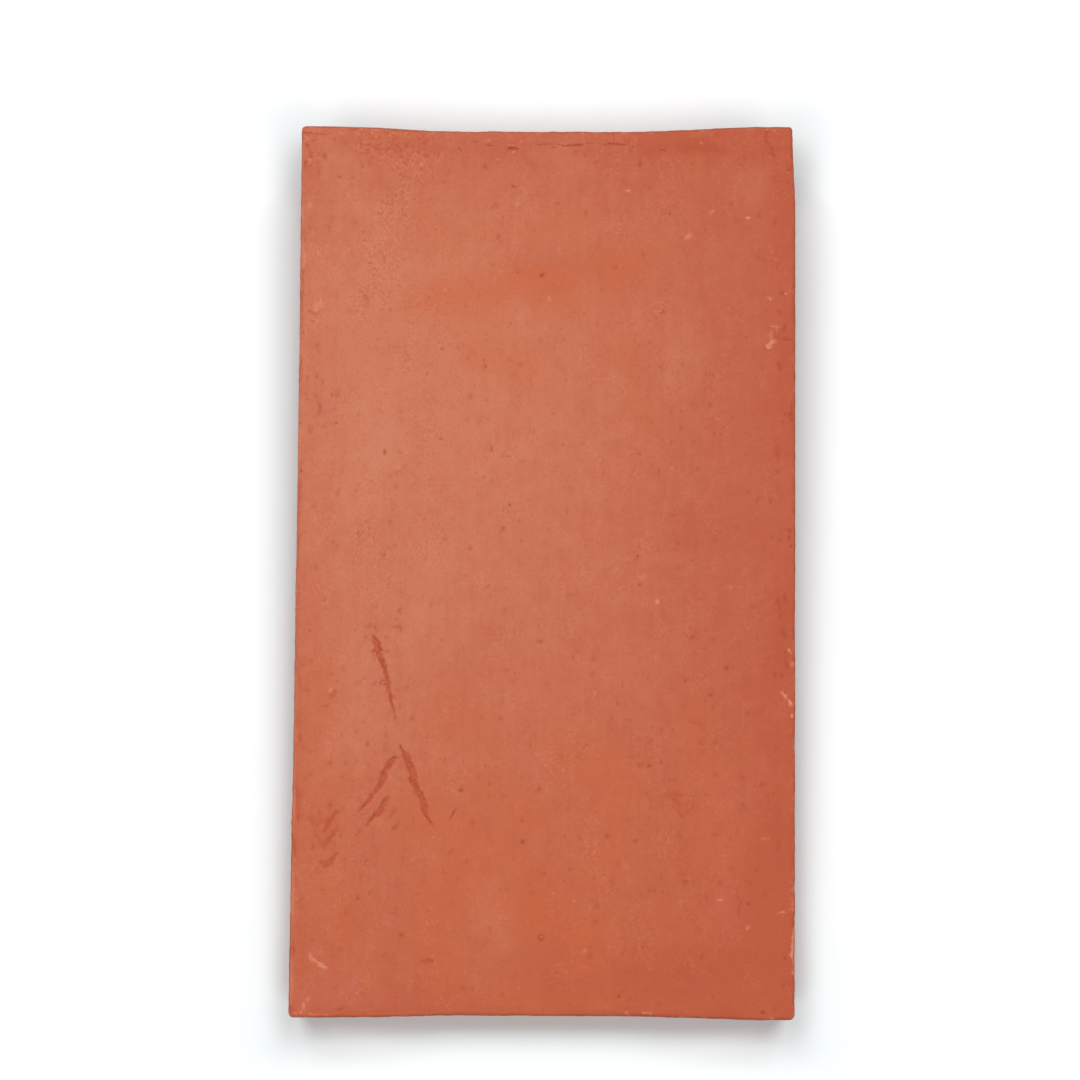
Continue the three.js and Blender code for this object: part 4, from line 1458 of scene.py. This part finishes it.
        # The painted sheen, with the clay's own patches and mottle on top of it.
        bloom_and_sheen = self._bloom_and_sheen(across, along) + patches * 0.25 + fine * lively
        hue = book.noise(place, self.hue) * 0.5 + book.noise(place, self.tint) + sand * 0.25
        warm, rosy = (hue.between(0.0, end) for end in (self.hue_range, -self.hue_range))
        colour = book.layered(
            self.body,
            (bloom_and_sheen, self.bloom_and_sheen),
            (bloom_and_sheen - 1.0, self.faded),
            (along.between(*self.orange_end) * 0.25, self.orange),
            (warm * lively * 0.4, self.warm),
            (rosy * lively * 0.4, self.rosy),
        )
        washes = {
            Tone.BARE: self.body,
            Tone.FADED: self.faded,
            Tone.ORANGE: self.orange,
            Tone.PINK: self.pink,
        }
        for tone, fired in washes.items():
            colour = book.mix(book.mask(tone.value) * (mottle * 0.8 + 1.0), colour, fired)
        ragged = mottle * 2.0 + sand * 1.5
        chipped, scuffed = ragged.between(*self.chipped), ragged.between(*self.scuffed)
        worn = book.mask("worn")
        return book.layered(
            colour,
            *self._details(book, place, busy, lively),
            (worn * chipped * 0.5, self.grit_and_painted_light),
            (worn * scuffed * 0.5, self.scraped_and_shade),
            # Painted shade on the head's arris.
            (book.mask("head_arris_shade") * 0.5, self.painted_head_shade),
            # The dark mask holds drags and smears, and also painted shade by the head and the
            # arrises.
            (book.mask("dark") * (sand * 1.2 + 0.95), self.scraped_and_shade),
            # Painted shade in the cracks, furrows, pits, dents and specks.
            (book.mask("crack") * (sand * 0.8 + 0.95), self.painted_hollow_shade),
            # The pale mask holds flakes and grit, and also painted light along the left-hand arris.
            (book.mask("pale") * (sand + 0.85), self.grit_and_painted_light),
        )

    def _details(
        self, book: NodeBook, place: Socket, busy: Signal, lively: Signal
    ) -> tuple[tuple[Signal, Triple], ...]:
        """The grains, threads, holes and blots.

        Args:
            book: The material's nodes.
            place: Where, in millimetres.
            busy: Where there are more of them.
            lively: Where they are stronger.

        Returns:
            How much of each colour they add, and the colour.
        """
        bent = book.warped(place, *self.swirl)
        drawn = book.vector("MULTIPLY", {0: bent, 1: self.draw})
        grains = book.noise(bent, self.grains).between(*self.grain_range)
        pale_grains = book.noise(bent, self.pale_grains).between(*self.pale_grain_range)
        pale_threads = book.threads(bent, self.pale_threads, self.pale_thread_width)
        dark_threads = book.threads(place, self.dark_threads, self.dark_thread_width)
        blots = book.specks(bent, self.blots)
        # Small holes, drawn as dark spots of painted shade.
        holes = book.specks(bent, self.holes) + book.specks(drawn, self.long_holes)
        pale = (pale_threads * 0.36 + pale_grains * 0.38) * busy * lively
        dark = grains * (busy * 0.4 + 0.1) + dark_threads * (1.0 - busy) * 0.35 + blots * 0.3
        return (pale, self.grit_and_painted_light), (dark, self.scraped_and_shade), (holes * 0.45, self.painted_hollow_shade)

    def build(self, name: str) -> bpy.types.Material:
        """Makes the material.

        Args:
            name: The material's name.

        Returns:
            The material.
        """
        material, book = blank_material(name)
        place = book.place()
        sand, lumps = book.noise(place, self.skin_sand), book.noise(place, self.skin_lumps)
        height = {"Height": sand * 0.6 + lumps, "Distance": self.skin_height * MM}
        bump = book.node("ShaderNodeBump", {}, {**height, "Strength": self.skin_strength})
        book.surface({
            "Base Color": self._colour(book, place),
            "Roughness": sand * 0.2 + self.roughness,
            "Specular IOR Level": self.specular,
            "Normal": bump.outputs[0],
        })
        return material


@dataclass(frozen=True)
class Shade:
    """A patch of painted shadow or light on the floor, and where it fades out at its ends and
    sides.
    """

    colour: Triple
    start: Pair
    end: Pair
    sides: Pair


@dataclass(frozen=True)
class StudioFloor:
    """A plain white floor with the tile's shadow and painted shadow and light by it, under a plain
    white sky.
    """

    form: TileForm = TileForm()
    half_size: float = 1100.0
    colour: float = 0.8
    sky: float = 0.05
    far_colour: Triple = (1.5, 1.5, 1.5)
    # Painted shadow, from far to near: where each colour is still in full and where it has faded,
    # beside the tile.
    painted_shadow_rings: tuple[tuple[Pair, Triple], ...] = (
        ((200.0, 900.0), (1.09, 1.1, 1.1)),
        ((10.0, 28.0), (1.0, 1.06, 1.07)),
        ((1.0, 7.0), (0.87, 0.91, 0.91)),
    )
    # Painted shadow by the head, measured from the tile, and by the tail's corners; painted light
    # beyond them.
    flank_shadow: Shade = Shade((0.69, 0.73, 0.735), (117.0, 132.0), (149.5, 134.0), (2.5, 16.0))
    tail: Shade = Shade((0.9, 0.95, 0.955), (-149.0, -141.0), (-106.0, -138.0), (79.5, 92.0))
    corner: Shade = Shade((1.21, 1.28, 1.29), (-156.0, -149.0), (-144.5, -148.5), (66.0, 78.0))
    corner_gap: Pair = (34.0, 62.0)

    def _seen(self, book: NodeBook) -> Signal:
        """What tells the look of the floor or the sky from its light.

        Args:
            book: Its nodes.

        Returns:
            1 for what the camera or a shiny or clear surface sees, 0 for the light that bounces.
        """
        rays = book.node("ShaderNodeLightPath", {}, {}).outputs
        kinds = ("Is Glossy Ray", "Is Transmission Ray", "Is Camera Ray")
        return sum(Signal(book, rays[kind]) for kind in kinds)

    def _within(self, place: Signal, full: float, none: float) -> Signal:
        """1 where a place is nearer the middle than full, fading to 0 at none, in millimetres."""
        return place.between(-none, -full) * place.between(none, full)

    def _round_tile(self, x: Signal, y: Signal, reach: Pair) -> Signal:
        """What is seen round the tile.

        Args:
            x: The place across the floor, in millimetres.
            y: The place along it.
            reach: How far beside the tile it is seen in full, and where it has faded.

        Returns:
            1 on the floor under the tile and 0 beyond the reach.
        """
        across = self._within(x, *(self.form.width / 2 + beside for beside in reach))
        return self._within(y, *(self.form.length / 2 + beside for beside in reach)) * across

    def _colour(self, book: NodeBook) -> Socket:
        """Mixes what the camera sees of the floor, from far to near, with its painted shadow and
        light.

        Args:
            book: The floor material's nodes.

        Returns:
            The colour.
        """
        x, y = book.across_and_along(book.place())
        seen = self.far_colour
        for reach, colour in self.painted_shadow_rings:
            seen = book.mix(self._round_tile(x, y, reach), seen, colour)
        beyond_gap = 1.0 - self._within(x, *self.corner_gap)
        shades = (
            (self.flank_shadow, self._round_tile(x, y, self.flank_shadow.sides)),
            (self.tail, self._within(x, *self.tail.sides)),
            (self.corner, self._within(x, *self.corner.sides) * beyond_gap),
        )
        for shade, mask in shades:
            mask = mask * y.between(*shade.start) * y.between(*shade.end)
            seen = book.mix(mask, seen, shade.colour)
        return seen

    def lay(self) -> bpy.types.Object:
        """Makes the floor.

        Returns:
            The floor object.
        """
        half = self.half_size * MM
        corners = [(-half, -half, 0), (half, -half, 0), (half, half, 0), (-half, half, 0)]
        mesh = bpy.data.meshes.new("floor")
        mesh.from_pydata(corners, [], [(0, 1, 2, 3)])
        material, book = blank_material("floor_white")
        colour = book.mix(self._seen(book), (self.colour,) * 3, self._colour(book))
        book.surface({"Base Color": colour, "Roughness": 1.0, "Specular IOR Level": 0.0})
        mesh.materials.append(material)
        return show("floor", mesh)

    def raise_sky(self) -> None:
        """Makes the white world, whose light is dimmer than its look."""
        world = bpy.data.worlds.new("white_sky")
        bpy.context.scene.world = world
        world.use_nodes = True
        book = NodeBook(world.node_tree)
        strength = self._seen(book) * (1.0 - self.sky) + self.sky
        look = {"Color": (1.0, 1.0, 1.0, 1.0), "Strength": strength}
        sky = book.node("ShaderNodeBackground", {}, look)
        book.node("ShaderNodeOutputWorld", {}, {"Surface": sky.outputs[0]})


@dataclass(frozen=True)
class Softbox:
    """A large soft lamp.

    Attributes:
        name: The lamp's name.
        place: Where it hangs, in millimetres.
        power: Its power in watts.
        size: The length of its sides.
        aim: What it points at, in millimetres.
    """

    name: str
    place: Triple
    power: float
    size: float = 1800.0
    aim: Triple = (0.0, 0.0, 0.0)

    def hang(self) -> None:
        """Adds the lamp to the scene."""
        data = bpy.data.lights.new(self.name, "AREA")
        data.shape = "SQUARE"
        data.size = self.size * MM
        data.energy = self.power
        lamp = show(self.name, data)
        lamp.location = Vector(self.place) * MM
        towards = Vector(self.aim) - Vector(self.place)
        lamp.rotation_euler = towards.to_track_quat("-Z", "Y").to_euler()


def softboxes() -> list[Softbox]:
    """Four softboxes round the camera, the two at the head's side being the stronger.

    Returns:
        The lamps.
    """
    out, height = 1250.0, 3200.0
    return [
        Softbox(f"{end}_{side}", (across, along, height), power)
        for end, along, power in (("head", 2350.0, 64.1), ("tail", -1600.0, 31.7))
        for side, across in (("left", -out), ("right", out))
    ]


@dataclass(frozen=True)
class OverheadCamera:
    """A camera that looks down on the tile from just beyond its middle, on the tail's side."""

    place: Triple = (3.2, -44.1, 560.0)
    lean: float = 5.545
    sideways: float = 0.465
    turn: float = 0.392
    lens: float = 57.3
    clip: float = 10.0

    def set_up(self) -> None:
        """Adds the camera and makes it the scene's own."""
        data = bpy.data.cameras.new("overhead")
        data.lens = self.lens
        data.clip_start = self.clip * MM
        camera = show("overhead", data)
        camera.location = Vector(self.place) * MM
        angles = (self.lean, self.sideways, self.turn)
        camera.rotation_euler = [math.radians(angle) for angle in angles]
        bpy.context.scene.camera = camera


@dataclass(frozen=True)
class RoofTile:
    """The tile itself: one fired piece."""

    form: TileForm = TileForm()
    finish: FiredClay = FiredClay()
    seed: int = 41

    def build(self) -> bpy.types.Object:
        """Makes the dressed tile and puts it in the place of its solid.

        Returns:
            The tile object.
        """
        skin = Skin(self.form, ClayNoise(self.seed))
        piece = ClayMesh(self.form, skin).build("clay_tile")
        piece.data.materials.append(self.finish.build("fired_clay"))
        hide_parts("tile")
        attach(piece, "root")
        return piece


def main() -> None:
    """Builds the tile and its studio, and reports each piece."""
    logging.basicConfig(level=logging.INFO, format="%(name)s: %(message)s")
    scene = bpy.context.scene
    scene.view_settings.view_transform = "Standard"
    OverheadCamera().set_up()
    tile = RoofTile().build()
    triangles = sum(len(face.vertices) - 2 for face in tile.data.polygons)
    log.info("%s: %d vertices, %d triangles", tile.name, len(tile.data.vertices), triangles)
    studio = StudioFloor()
    floor = studio.lay()
    studio.raise_sky()
    log.info("%s: half size %.0f mm", floor.name, studio.half_size)
    for lamp in softboxes():
        lamp.hang()
        log.info("%s: %.0f W", lamp.name, lamp.power)


if __name__ == "__main__":
    main()
